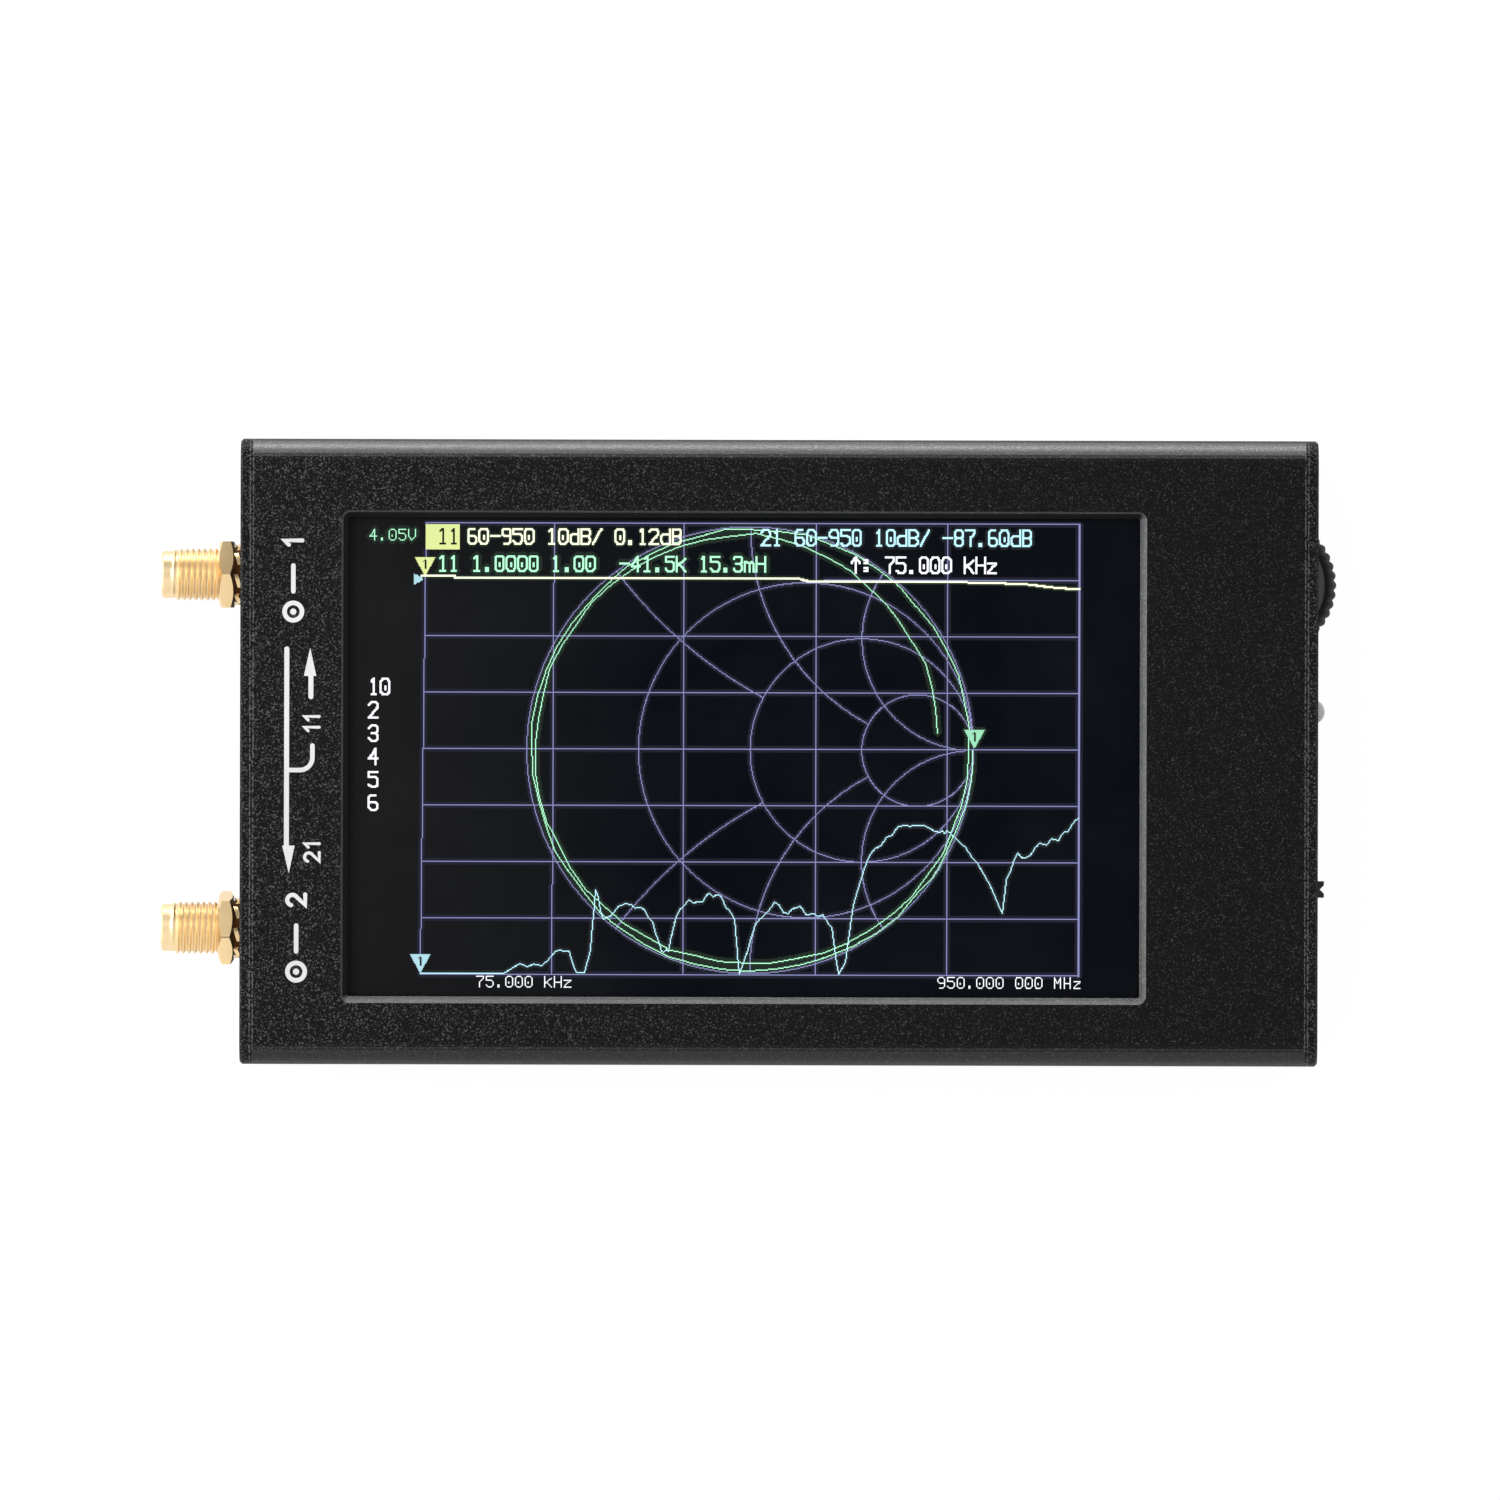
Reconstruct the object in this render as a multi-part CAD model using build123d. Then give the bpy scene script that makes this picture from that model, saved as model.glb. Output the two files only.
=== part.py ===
"""Handheld antenna analyzer in a split aluminium extrusion.

Millimetres. The origin is the centre of the back face. +X runs along the case from the two
radio jacks to the controls, +Y across it and +Z out of the display.
"""
import os
from math import cos, pi, sin, sqrt, tau

from build123d import *

# Case
case_length = 130.0
case_width = 75.5
case_height = 22.0
edge_radius = 3.0
front_wall = 1.5
back_wall = 1.5
side_wall = 2.0
inner_radius = 1.0
parting_height = 6.6
parting_groove = 0.35
tongue_width = 0.7
tongue_height = 0.9
tongue_gap = 0.05

# End plates and their screws
plate_thickness = 1.5
plate_chamfer = 0.3
screw_radius = 1.2
screw_length = 6.0
screw_head_radius = 2.3
screw_inset_y = 3.25
screw_inset_z = 4.1
channel_radius = 2.0
thread_gap = 0.05
hole_gap = 0.15

# Display
window_length = 95.5
window_side_border = 8.85
window_x = -4.25
window_y = -0.6
window_radius = 0.25
window_chamfer = 0.8
gasket_thickness = 0.3
gasket_width = 2.4
gasket_setback = 0.3
glass_thickness = 1.1
display_shift_x = 0.18
display_shift_y = 0.36
display_margin_x = 3.55
display_margin_y = 3.2
tray_depth = 3.0
tray_wall = 0.4
tray_fit = 0.1
panel_thickness = 1.2
ribbon_width = 24.0
ribbon_thickness = 0.2
ribbon_y = -14.0
ribbon_run = 9.0
ribbon_tail = 5.0
connector_depth = 5.0
connector_margin = 1.5
connector_cover = 0.5

# Board
board_thickness = 1.6
board_edge_margin = 0.85
board_end_gap = 0.6
rail_thickness = 1.0
rail_reach = 1.55
rail_gap = 0.1
solder_gap = 0.03
can_length = 24.0
can_edge_margin = 3.0
can_height = 2.6
can_sheet = 0.2
can_setback = 3.0
processor_side = 12.0
processor_height = 1.2
processor_x = -8.0
crystal_length = 5.0
crystal_width = 3.2
crystal_height = 1.0
crystal_step = 3.0

# Radio jacks
port_spacing = 42.8
port_reach = 9.8
thread_radius = 3.175
thread_root_radius = 2.85
lead_radius = 2.65
lead_length = 1.3
socket_radius = 2.3
socket_depth = 1.9
insulator_radius = 2.0
contact_radius = 0.6
contact_hole_radius = 0.46
contact_hole_depth = 3.0
contact_tail_length = 2.0
seat_gap = 0.05
flange_side = 7.9
flange_thickness = 1.6
leg_thickness = 1.0
leg_height = 1.1
leg_length = 4.0
leg_spacing = 5.8
washer_radius = 3.65
washer_thickness = 1.0
nut_flats = 8.0
nut_thickness = 1.8
nut_turns = {1: 30.0, 2: 44.3}
nut_gap = 0.03

# Charging socket
usb_y = -5.5
usb_width = 8.94
usb_height = 3.26
usb_sheet = 0.3
usb_length = 7.35
usb_recess = 0.2
usb_hole_gap = 0.2
tongue_plate_width = 6.69
tongue_plate_thickness = 0.7
tongue_plate_length = 4.45
tongue_block_length = 2.0

# Status light
led_y = 5.1
led_radius = 1.5
led_proud = 1.1
led_flange_radius = 1.85
led_flange_thickness = 1.0
led_body_length = 4.2
led_clearance = 0.1
led_leg_side = 0.5
led_leg_spacing = 2.54
led_leg_run = 2.0

# Slide switch
knob_y = -16.4
knob_width = 2.0
knob_height = 1.5
knob_proud = 1.04
knob_notch = 0.5
knob_travel = 2.0
knob_gap = 0.1
knob_foot_lip = 0.45
knob_foot_depth = 0.6
switch_length = 9.0
switch_depth = 4.2
switch_height = 3.5
switch_wall = 0.6
switch_plate_gap = 0.8
switch_slot_gap = 0.3

# Thumbwheel
wheel_inset = 17.35
wheel_radius = 8.5
wheel_thickness = 2.6
wheel_proud = 2.4
wheel_ribs = 43
rib_depth = 0.28
rib_crest = 0.35
rib_valley = 0.2
wheel_hole_gap = 0.05
wheel_slot_side_gap = 0.35
wheel_slot_gap = 0.4
axle_radius = 1.5
axle_neck_radius = 1.1
spring_recess_inner = 2.05
spring_recess_outer = 3.2
spring_recess_depth = 1.5
spring_radius = 2.6
spring_sheet = 0.2
spring_height = 1.1
spring_opening = 1.6
clip_radius = 2.1
clip_thickness = 0.4
clip_gap = 0.1
clip_opening = 1.4
clip_pocket_radius = 2.4
clip_pocket_depth = 0.7
carrier_length = 7.0
carrier_width = 8.6
carrier_flange = 0.45
carrier_step = 0.5
carrier_thickness = 1.05
carrier_shoulder_radius = 1.9
carrier_shoulder_height = 0.4
carrier_gap = 0.1
press_travel = 0.5
base_floor = 0.4
base_wall = 0.8
base_front = 0.4
nose_width = 1.5
nose_height = 0.9
nose_length = 0.9
jog_switch_length = 2.8
jog_switch_width = 5.2

# Battery
battery_length = 86.0
battery_width = 55.0
battery_thickness = 5.0
battery_x = -5.0
battery_radius = 2.5
pad_thickness = 0.4
pad_margin = 4.0
lead_wire_radius = 0.55
lead_wire_spacing = 2.0
lead_wire_run = 4.5
plug_length = 5.0
plug_width = 5.8
plug_height = 2.6
plug_insertion = 3.0
header_wall = 0.7
header_back = 1.2
header_gap = 0.05

# Levels and stations that follow from the sizes above
jack_z = case_height / 2
board_top = jack_z - contact_radius - solder_gap
board_bottom = board_top - board_thickness
shell_length = case_length - 2 * plate_thickness
case_end = case_length / 2
shell_end = shell_length / 2
cavity_half = case_width / 2 - side_wall
front_inside = case_height - front_wall
window_width = case_width - 2 * window_side_border
display_x = window_x + display_shift_x
display_y = window_y + display_shift_y
display_length = window_length + 2 * display_margin_x
display_width = window_width + 2 * display_margin_y
glass_top = front_inside - gasket_thickness
tray_top = glass_top - glass_thickness
tray_bottom = tray_top - tray_depth
flange_back = shell_end - flange_thickness
board_left = -flange_back
board_right = shell_end - board_end_gap
board_half = cavity_half - board_edge_margin
can_width = 2 * (board_half - can_edge_margin) - port_spacing
screw_y = case_width / 2 - screw_inset_y
screw_levels = (screw_inset_z, case_height - screw_inset_z)
wheel_x = case_end + wheel_proud - wheel_radius
wheel_y = case_width / 2 - wheel_inset
carrier_base = board_top + solder_gap + base_floor + carrier_gap
carrier_top = carrier_base + carrier_thickness
wheel_height = carrier_top + carrier_shoulder_height + seat_gap
led_z = board_top + led_flange_radius + solder_gap
usb_z = board_top + usb_height / 2 + solder_gap
knob_z = board_top + switch_height / 2
washer_x = -case_end - washer_thickness
nut_x = washer_x - nut_thickness
port_end = -case_end - port_reach
port_rows = {1: port_spacing / 2, 2: -port_spacing / 2}


def block(x_range, y_range, z_range):
    """A box between two planes along each axis."""
    spans = [high - low for low, high in (x_range, y_range, z_range)]
    middle = [(low + high) / 2 for low, high in (x_range, y_range, z_range)]
    return Pos(*middle) * Box(*spans)


def around(middle, width):
    """The two ends of a span of the given width about its middle."""
    return middle - width / 2, middle + width / 2


def along_x(section, start, end):
    """Extrude a section drawn in Y and Z from one station along X to another."""
    return extrude(Plane.YZ.offset(start) * section, amount=end - start)


def turned(points):
    """Revolve an outline, given as pairs of X and radius, about the X axis."""
    return revolve(make_face(Polyline(*points, close=True)), Axis.X)


# Housing


def case_section():
    """Outer outline of the extrusion."""
    return Pos(0, case_height / 2) * RectangleRounded(case_width, case_height, edge_radius)


def cavity_section():
    """Space inside the extrusion, without its channels and rails."""
    height = front_inside - back_wall
    return Pos(0, back_wall + height / 2) * RectangleRounded(2 * cavity_half, height, inner_radius)


def screw_channels(level, wall_level):
    """Two round channels for the plate screws, each filled out to its corner."""
    section = Sketch()
    for side in (-1, 1):
        fill = Pos(side * (screw_y + side_wall / 2), (level + wall_level) / 2)
        section += Pos(side * screw_y, level) * Circle(channel_radius)
        section += fill * Rectangle(side_wall, abs(wall_level - level))
    return section


def board_rails():
    """Ribs above and below each long edge of the board."""
    section = Sketch()
    for side in (-1, 1):
        y_middle = side * (cavity_half - rail_reach / 2 + inner_radius / 2)
        rib = Rectangle(rail_reach + inner_radius, rail_thickness)
        section += Pos(y_middle, board_top + rail_gap + rail_thickness / 2) * rib
        section += Pos(y_middle, board_bottom - rail_gap - rail_thickness / 2) * rib
    return section


def shell_section(level, wall_level, low, high):
    """One half of the extrusion between two heights, with its screw channels drilled."""
    band = Pos(0, (low + high) / 2) * Rectangle(case_width, high - low)
    section = (case_section() - cavity_section() + screw_channels(level, wall_level)) & band
    for side in (-1, 1):
        section -= Pos(side * screw_y, level) * Circle(screw_radius + thread_gap)
        seam = Pos(side * case_width / 2, parting_height) * Rot(0, 0, 45)
        section -= seam * Rectangle(parting_groove, parting_groove)
    return section


def tongues(gap):
    """Two strips that stand on the parting plane, in the middle of the side walls."""
    section = Sketch()
    height = tongue_height + gap
    for side in (-1, 1):
        middle = side * (case_width - side_wall) / 2
        section += Pos(middle, parting_height + height / 2) * Rectangle(tongue_width + 2 * gap, height)
    return section


def make_front_shell():
    section = shell_section(screw_levels[1], front_inside, parting_height, case_height)
    section = section + (board_rails() & case_section()) - tongues(tongue_gap)
    shell = along_x(section, -shell_end, shell_end)
    outline = Pos(window_x, window_y) * RectangleRounded(window_length, window_width, window_radius)
    shell -= extrude(Pos(0, 0, front_inside) * outline, amount=front_wall)
    face = shell.faces().filter_by(Axis.Z).sort_by(Axis.Z)[-1]
    return chamfer(face.inner_wires()[0].edges(), length=window_chamfer)


def make_back_shell():
    section = shell_section(screw_levels[0], back_wall, 0, parting_height) + tongues(0)
    return along_x(section, -shell_end, shell_end)


def plate_blank(side):
    """An end plate with a broken outer edge and four countersunk screw holes."""
    inner, outer = side * shell_end, side * case_end
    plate = along_x(case_section(), min(inner, outer), max(inner, outer))
    edges = plate.edges().filter_by_position(Axis.X, outer - seat_gap, outer + seat_gap)
    plate = chamfer(edges, length=plate_chamfer)
    hole_radius = screw_radius + hole_gap
    cone = screw_head_radius - hole_radius
    for y in (-screw_y, screw_y):
        for z in screw_levels:
            outline = [
                (side * (shell_end - plate_thickness), 0),
                (side * (shell_end - plate_thickness), hole_radius),
                (side * (case_end - cone), hole_radius),
                (side * (case_end), screw_head_radius),
                (side * (case_end + plate_thickness), screw_head_radius),
                (side * (case_end + plate_thickness), 0),
            ]
            plate -= Pos(0, y, z) * turned(outline)
    return plate


def make_port_plate():
    plate = plate_blank(-1)
    for y in port_rows.values():
        hole = Pos(y, jack_z) * Circle(thread_radius + hole_gap)
        plate -= along_x(hole, -case_end, -shell_end)
    return plate


def make_control_plate():
    plate = plate_blank(1)
    half_chord = sqrt(wheel_radius**2 - (shell_end - wheel_x) ** 2)
    wheel_slot = Rectangle(
        2 * (half_chord + wheel_slot_side_gap), wheel_thickness + 2 * wheel_slot_gap
    )
    cuts = Pos(wheel_y, wheel_height + wheel_thickness / 2) * wheel_slot
    cuts += Pos(led_y, led_z) * Circle(led_radius + led_clearance)
    usb_hole = SlotOverall(usb_width + 2 * usb_hole_gap, usb_height + 2 * usb_hole_gap)
    cuts += Pos(usb_y, usb_z) * usb_hole
    knob_slot = Rectangle(
        knob_width + knob_travel + 2 * switch_slot_gap, knob_height + 2 * switch_slot_gap
    )
    cuts += Pos(knob_y - knob_travel / 2, knob_z) * knob_slot
    return plate - along_x(cuts, shell_end, case_end)


def make_plate_screws(side):
    """Four countersunk screws, flush with the plate."""
    cone = screw_head_radius - hole_gap - screw_radius
    head = side * (case_end - seat_gap)
    tip = side * (case_end - screw_length)
    outline = [
        (head, 0),
        (head, screw_head_radius - hole_gap),
        (head - side * cone, screw_radius),
        (tip, screw_radius),
        (tip, 0),
    ]
    screw = turned(outline)
    places = [Pos(0, y, z) for y in (-screw_y, screw_y) for z in screw_levels]
    return Compound(children=[place * screw for place in places])


# Display


def gasket_outline():
    """Outer edge of the gasket and of the cover glass on it."""
    margin = 2 * (gasket_setback + gasket_width)
    return Rectangle(window_length + margin, window_width + margin)


def make_display_gasket():
    inner = Rectangle(window_length + 2 * gasket_setback, window_width + 2 * gasket_setback)
    place = Pos(window_x, window_y, glass_top)
    return extrude(place * (gasket_outline() - inner), amount=gasket_thickness)


def make_display_glass():
    return extrude(Pos(window_x, window_y, tray_top) * gasket_outline(), amount=glass_thickness)


def make_lcd_frame():
    place = Pos(display_x, display_y, tray_bottom)
    outer = extrude(place * Rectangle(display_length, display_width), amount=tray_depth)
    inner = Rectangle(display_length - 2 * tray_wall, display_width - 2 * tray_wall)
    return outer - extrude(Pos(0, 0, tray_wall) * place * inner, amount=tray_depth)


def tray_filling(low, high):
    """A flat block that lies in the display's tray between two heights."""
    margin = 2 * (tray_wall + tray_fit)
    outline = Rectangle(display_length - margin, display_width - margin)
    return extrude(Pos(display_x, display_y, low) * outline, amount=high - low)


def make_lcd_panel():
    return tray_filling(tray_top - panel_thickness, tray_top)


def make_light_guide():
    return tray_filling(tray_bottom + tray_wall, tray_top - panel_thickness)


def ribbon_levels():
    """Heights of the ribbon's mid-plane under the display and in its connector."""
    upper = tray_bottom - ribbon_thickness / 2
    lower = board_top + solder_gap + connector_cover + ribbon_thickness / 2
    return upper, lower


def make_display_ribbon():
    """Flat cable that leaves the display's back, turns over and enters the connector."""
    upper, lower = ribbon_levels()
    bend = ribbon_y - ribbon_run
    radius = (upper - lower) / 2
    half = ribbon_thickness / 2
    ring = Circle(radius + half) - Circle(radius - half)
    ring &= Pos(-radius, 0) * Rectangle(2 * radius, 2 * (radius + ribbon_thickness))
    section = Pos(bend, (upper + lower) / 2) * ring
    section += Pos(bend + ribbon_run / 2, upper) * Rectangle(ribbon_run, ribbon_thickness)
    section += Pos(bend + ribbon_tail / 2, lower) * Rectangle(ribbon_tail, ribbon_thickness)
    return along_x(section, *around(display_x, ribbon_width))


def make_display_connector():
    upper, lower = ribbon_levels()
    mouth = ribbon_y - ribbon_run + ribbon_tail - connector_depth / 2
    base = board_top + solder_gap
    top = lower + ribbon_thickness / 2 + connector_cover
    x_range = around(display_x, ribbon_width + 2 * connector_margin)
    body = block(x_range, (mouth, mouth + connector_depth), (base, top))
    slot_height = ribbon_thickness + 2 * seat_gap
    slot_x = around(display_x, ribbon_width + 2 * seat_gap)
    slot_y = (mouth, mouth + connector_depth / 2 + seat_gap)
    return body - block(slot_x, slot_y, around(lower, slot_height))


# Board


def make_main_board():
    return block((board_left, board_right), (-board_half, board_half), (board_bottom, board_top))


def make_shield_cans():
    """Two sheet-metal lids, one over each port's circuit."""
    base = board_top + solder_gap
    start = board_left + leg_length + can_setback
    cans = []
    for y in port_rows.values():
        place = Pos(start + can_length / 2, y, base)
        outer = extrude(place * Rectangle(can_length, can_width), amount=can_height)
        inside = Rectangle(can_length - 2 * can_sheet, can_width - 2 * can_sheet)
        cans.append(outer - extrude(place * inside, amount=can_height - can_sheet))
    return Compound(children=cans)


def make_processor():
    side = around(0, processor_side)
    x_range = around(processor_x, processor_side)
    base = board_top + solder_gap
    chip = block(x_range, side, (base, base + processor_height))
    return chamfer(chip.edges().group_by(Axis.Z)[-1], length=can_sheet)


def make_crystal():
    start = processor_x + processor_side / 2 + crystal_step
    base = board_top + solder_gap
    return block(
        (start, start + crystal_length), around(0, crystal_width), (base, base + crystal_height)
    )


# Radio jacks


def make_jack(row):
    """Barrel with a square flange and four legs that straddle the board's edge.

    The thread is plain: at its crest where it stands free, and at its root from the nut inwards.
    """
    bore = insulator_radius + seat_gap
    reference = port_end + socket_depth
    outline = [
        (-flange_back, bore),
        (reference, bore),
        (reference, socket_radius),
        (port_end, socket_radius),
        (port_end, lead_radius),
        (port_end + lead_length, lead_radius),
        (port_end + lead_length, thread_radius),
        (nut_x - nut_gap, thread_radius),
        (nut_x - nut_gap, thread_root_radius),
        (-flange_back, thread_root_radius),
    ]
    jack = Pos(0, port_rows[row], jack_z) * turned(outline)
    y_range = around(port_rows[row], flange_side)
    flange = block((-shell_end, -flange_back), y_range, around(jack_z, flange_side))
    hole = Pos(port_rows[row], jack_z) * Circle((bore + thread_root_radius) / 2)
    jack += flange - along_x(hole, -shell_end, -flange_back)
    for side in (-1, 1):
        leg_y = around(port_rows[row] + side * leg_spacing / 2, leg_thickness)
        for foot in (board_top + solder_gap, board_bottom - solder_gap - leg_height):
            jack += block((-flange_back, -flange_back + leg_length), leg_y, (foot, foot + leg_height))
    return jack


def make_insulator(row):
    bore = contact_radius + seat_gap
    section = Pos(port_rows[row], jack_z) * (Circle(insulator_radius) - Circle(bore))
    return along_x(section, port_end + socket_depth, -flange_back)


def make_contact(row):
    """Centre contact: a socket at the front and a straight tail on the board."""
    reference = port_end + socket_depth
    outline = [
        (reference, contact_hole_radius),
        (reference, contact_radius),
        (-flange_back + contact_tail_length, contact_radius),
        (-flange_back + contact_tail_length, 0),
        (reference + contact_hole_depth, 0),
        (reference + contact_hole_depth, contact_hole_radius),
    ]
    return Pos(0, port_rows[row], jack_z) * turned(outline)


def make_washer(row):
    section = Circle(washer_radius) - Circle(thread_radius + nut_gap)
    return along_x(Pos(port_rows[row], jack_z) * section, washer_x, -case_end)


def make_nut(row):
    """Hexagon nut, bored to the thread's root and turned to where it was tightened."""
    hexagon = Rot(0, 0, nut_turns[row]) * RegularPolygon(nut_flats / 2, 6, major_radius=False)
    section = hexagon - Circle(thread_root_radius + nut_gap)
    return along_x(Pos(port_rows[row], jack_z) * section, nut_x, washer_x)


# Charging socket


def make_usb_shell():
    outer = SlotOverall(usb_width, usb_height)
    inner = SlotOverall(usb_width - 2 * usb_sheet, usb_height - 2 * usb_sheet)
    front = case_end - usb_recess
    return along_x(Pos(usb_y, usb_z) * (outer - inner), front - usb_length, front)


def make_usb_tongue():
    """Contact tongue on the block that closes the socket's back."""
    back = case_end - usb_recess - usb_length
    margin = 2 * (usb_sheet + seat_gap)
    place = Pos(usb_y, usb_z)
    section = SlotOverall(usb_width - margin, usb_height - margin)
    body = along_x(place * section, back, back + tongue_block_length)
    plate = place * Rectangle(tongue_plate_width, tongue_plate_thickness)
    front = back + tongue_block_length + tongue_plate_length
    return body + along_x(plate, back + tongue_block_length, front)


# Status light


def led_back():
    """Station of the light's back face."""
    return case_end + led_proud - led_radius - led_body_length


def make_status_led():
    dome = case_end + led_proud - led_radius
    back = led_back()
    outline = make_face(
        Polyline(
            (dome, led_radius),
            (back + led_flange_thickness, led_radius),
            (back + led_flange_thickness, led_flange_radius),
            (back, led_flange_radius),
            (back, 0),
            (dome + led_radius, 0),
        )
        + ThreePointArc(
            (dome + led_radius, 0),
            (dome + led_radius * cos(pi / 4), led_radius * sin(pi / 4)),
            (dome, led_radius),
        )
    )
    return Pos(0, led_y, led_z) * revolve(outline, Axis.X)


def make_led_leads():
    """Two square legs, bent down to the board behind the light."""
    back = led_back()
    foot = back - led_leg_run
    legs = []
    for side in (-1, 1):
        y_range = around(led_y + side * led_leg_spacing / 2, led_leg_side)
        leg = block((foot, back), y_range, around(led_z, led_leg_side))
        stand = (board_top + solder_gap, led_z + led_leg_side / 2)
        leg += block((foot, foot + led_leg_side), y_range, stand)
        legs.append(leg)
    return Compound(children=legs)


# Slide switch


def switch_front():
    """Station of the switch can's front face."""
    return shell_end - switch_plate_gap


def foot_range():
    """Stations of the knob's foot, which is held behind the can's front wall."""
    end = switch_front() - switch_wall - knob_gap
    return end - knob_foot_depth, end


def make_switch_body():
    front = switch_front()
    middle = knob_y - knob_travel / 2
    span = knob_width + knob_travel + 2 * knob_gap
    base = board_top + solder_gap
    body = block((front - switch_depth, front), around(middle, switch_length), (base, base + switch_height))
    start = foot_range()[0] - knob_gap
    chamber_height = knob_height + 2 * (knob_foot_lip + knob_gap)
    body -= block((start, front - switch_wall), around(middle, span), around(knob_z, chamber_height))
    slot_height = knob_height + 2 * knob_gap
    return body - block((front - switch_wall, front), around(middle, span), around(knob_z, slot_height))


def make_switch_knob():
    """Knob with a notched tip, on a foot that slides in the switch can."""
    tip = case_end + knob_proud
    start, end = foot_range()
    half = knob_width / 2
    outline = make_face(
        Polyline(
            (start, knob_y - half),
            (tip, knob_y - half),
            (tip, knob_y - knob_notch),
            (tip - knob_notch, knob_y),
            (tip, knob_y + knob_notch),
            (tip, knob_y + half),
            (start, knob_y + half),
            close=True,
        )
    )
    knob = extrude(Pos(0, 0, knob_z - knob_height / 2) * outline, amount=knob_height)
    foot_height = knob_height + 2 * knob_foot_lip
    return knob + block((start, end), around(knob_y, knob_width), around(knob_z, foot_height))


# Thumbwheel


def carrier_stations():
    """Back and front stations of the sliding carrier."""
    return wheel_x - carrier_length / 2, wheel_x + carrier_length / 2


def ribbed_rim():
    """Outline of the wheel: flat-topped ribs with shallow valleys between them."""
    valley_radius = wheel_radius - rib_depth
    points = []
    for rib in range(wheel_ribs):
        middle = tau * rib / wheel_ribs
        crest = rib_crest / wheel_radius / 2
        foot = tau / wheel_ribs / 2 - rib_valley / wheel_radius / 2
        for turn, radius in (
            (-foot, valley_radius),
            (-crest, wheel_radius),
            (crest, wheel_radius),
            (foot, valley_radius),
        ):
            points.append((radius * cos(middle + turn), radius * sin(middle + turn)))
    return make_face(Polyline(*points, close=True))


def make_jog_wheel():
    """Ribbed wheel with a hub, a recess for the spring and a pocket for the clip."""
    disc = extrude(ribbed_rim(), amount=wheel_thickness)
    recess = Circle(spring_recess_outer) - Circle(spring_recess_inner)
    disc -= extrude(recess, amount=spring_recess_depth)
    pocket = Pos(0, 0, wheel_thickness - clip_pocket_depth) * Circle(clip_pocket_radius)
    disc -= extrude(pocket, amount=clip_pocket_depth)
    disc -= extrude(Circle(axle_radius + wheel_hole_gap), amount=wheel_thickness)
    return Pos(wheel_x, wheel_y, wheel_height) * disc


def clip_level():
    """Height of the retaining clip's underside."""
    return wheel_height + wheel_thickness - clip_pocket_depth + clip_gap


def make_jog_carrier():
    """Slide with a stepped section, a nose at the back and the wheel's axle on top."""
    back, front = carrier_stations()
    low = Pos(wheel_y, carrier_base + carrier_flange / 2) * Rectangle(carrier_width, carrier_flange)
    upper_width = carrier_width - 2 * carrier_step
    high = Rectangle(upper_width, carrier_thickness)
    high = Pos(wheel_y, carrier_base + carrier_thickness / 2) * high
    carrier = along_x(low + high, back, front)
    nose_z = (carrier_base, carrier_base + nose_height)
    carrier += block((back - nose_length, back), around(wheel_y, nose_width), nose_z)
    place = Pos(wheel_x, wheel_y, carrier_top)
    carrier += extrude(place * Circle(carrier_shoulder_radius), amount=carrier_shoulder_height)
    clip_low = clip_level() - seat_gap
    clip_high = clip_level() + clip_thickness + seat_gap
    axle_top = wheel_height + wheel_thickness
    axle = extrude(place * Circle(axle_radius), amount=clip_low - carrier_top)
    axle += extrude(place * Circle(axle_neck_radius), amount=axle_top - carrier_top)
    cap = Pos(wheel_x, wheel_y, clip_high) * Circle(axle_radius)
    return carrier + axle + extrude(cap, amount=axle_top - clip_high)


def make_jog_clip():
    """Open ring that snaps into the axle's neck over the wheel."""
    ring = Circle(clip_radius) - Circle(axle_neck_radius + seat_gap)
    ring -= Pos(-clip_radius / 2, 0) * Rectangle(clip_radius, clip_opening)
    return extrude(Pos(wheel_x, wheel_y, clip_level()) * ring, amount=clip_thickness)


def make_jog_spring():
    """Open band round the hub that turns the wheel back to its middle."""
    half = spring_sheet / 2
    band = Circle(spring_radius + half) - Circle(spring_radius - half)
    band -= Pos(0, spring_radius) * Rectangle(spring_opening, spring_radius)
    return extrude(Pos(wheel_x, wheel_y, carrier_top + seat_gap) * band, amount=spring_height)


def make_jog_base():
    """Channel on the board that the carrier slides in, closed at the front."""
    back, front = carrier_stations()
    floor = board_top + solder_gap
    inner = carrier_width + 2 * carrier_gap
    outer = inner + 2 * base_wall
    height = carrier_top - seat_gap - floor
    section = Pos(wheel_y, floor + height / 2) * Rectangle(outer, height)
    lower = carrier_flange + 2 * carrier_gap
    section -= Pos(wheel_y, carrier_base - carrier_gap + lower / 2) * Rectangle(inner, lower)
    mouth = inner - 2 * carrier_step
    section -= Pos(wheel_y, carrier_base + height / 2) * Rectangle(mouth, height)
    channel = along_x(section, back, front + carrier_gap)
    stop_x = (front + carrier_gap, front + carrier_gap + base_front)
    return channel + block(stop_x, around(wheel_y, outer), (floor, floor + height))


def make_jog_switch():
    """Small push switch behind the carrier, with a pocket for the carrier's nose."""
    tip = carrier_stations()[0] - nose_length
    front = tip - carrier_gap
    floor = board_top + solder_gap
    body_x = (front - jog_switch_length, front)
    body = block(body_x, around(wheel_y, jog_switch_width), (floor, carrier_top))
    depth = press_travel + 2 * carrier_gap
    pocket_z = (carrier_base - carrier_gap, carrier_base + nose_height + carrier_gap)
    pocket_y = around(wheel_y, nose_width + 2 * carrier_gap)
    return body - block((front - depth, front), pocket_y, pocket_z)


# Battery


def make_battery_pad():
    length = battery_length - 2 * pad_margin
    width = battery_width - 2 * pad_margin
    return block(around(battery_x, length), around(0, width), (back_wall, back_wall + pad_thickness))


def battery_middle():
    """Height of the cell's mid-plane."""
    return back_wall + pad_thickness + battery_thickness / 2


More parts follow.
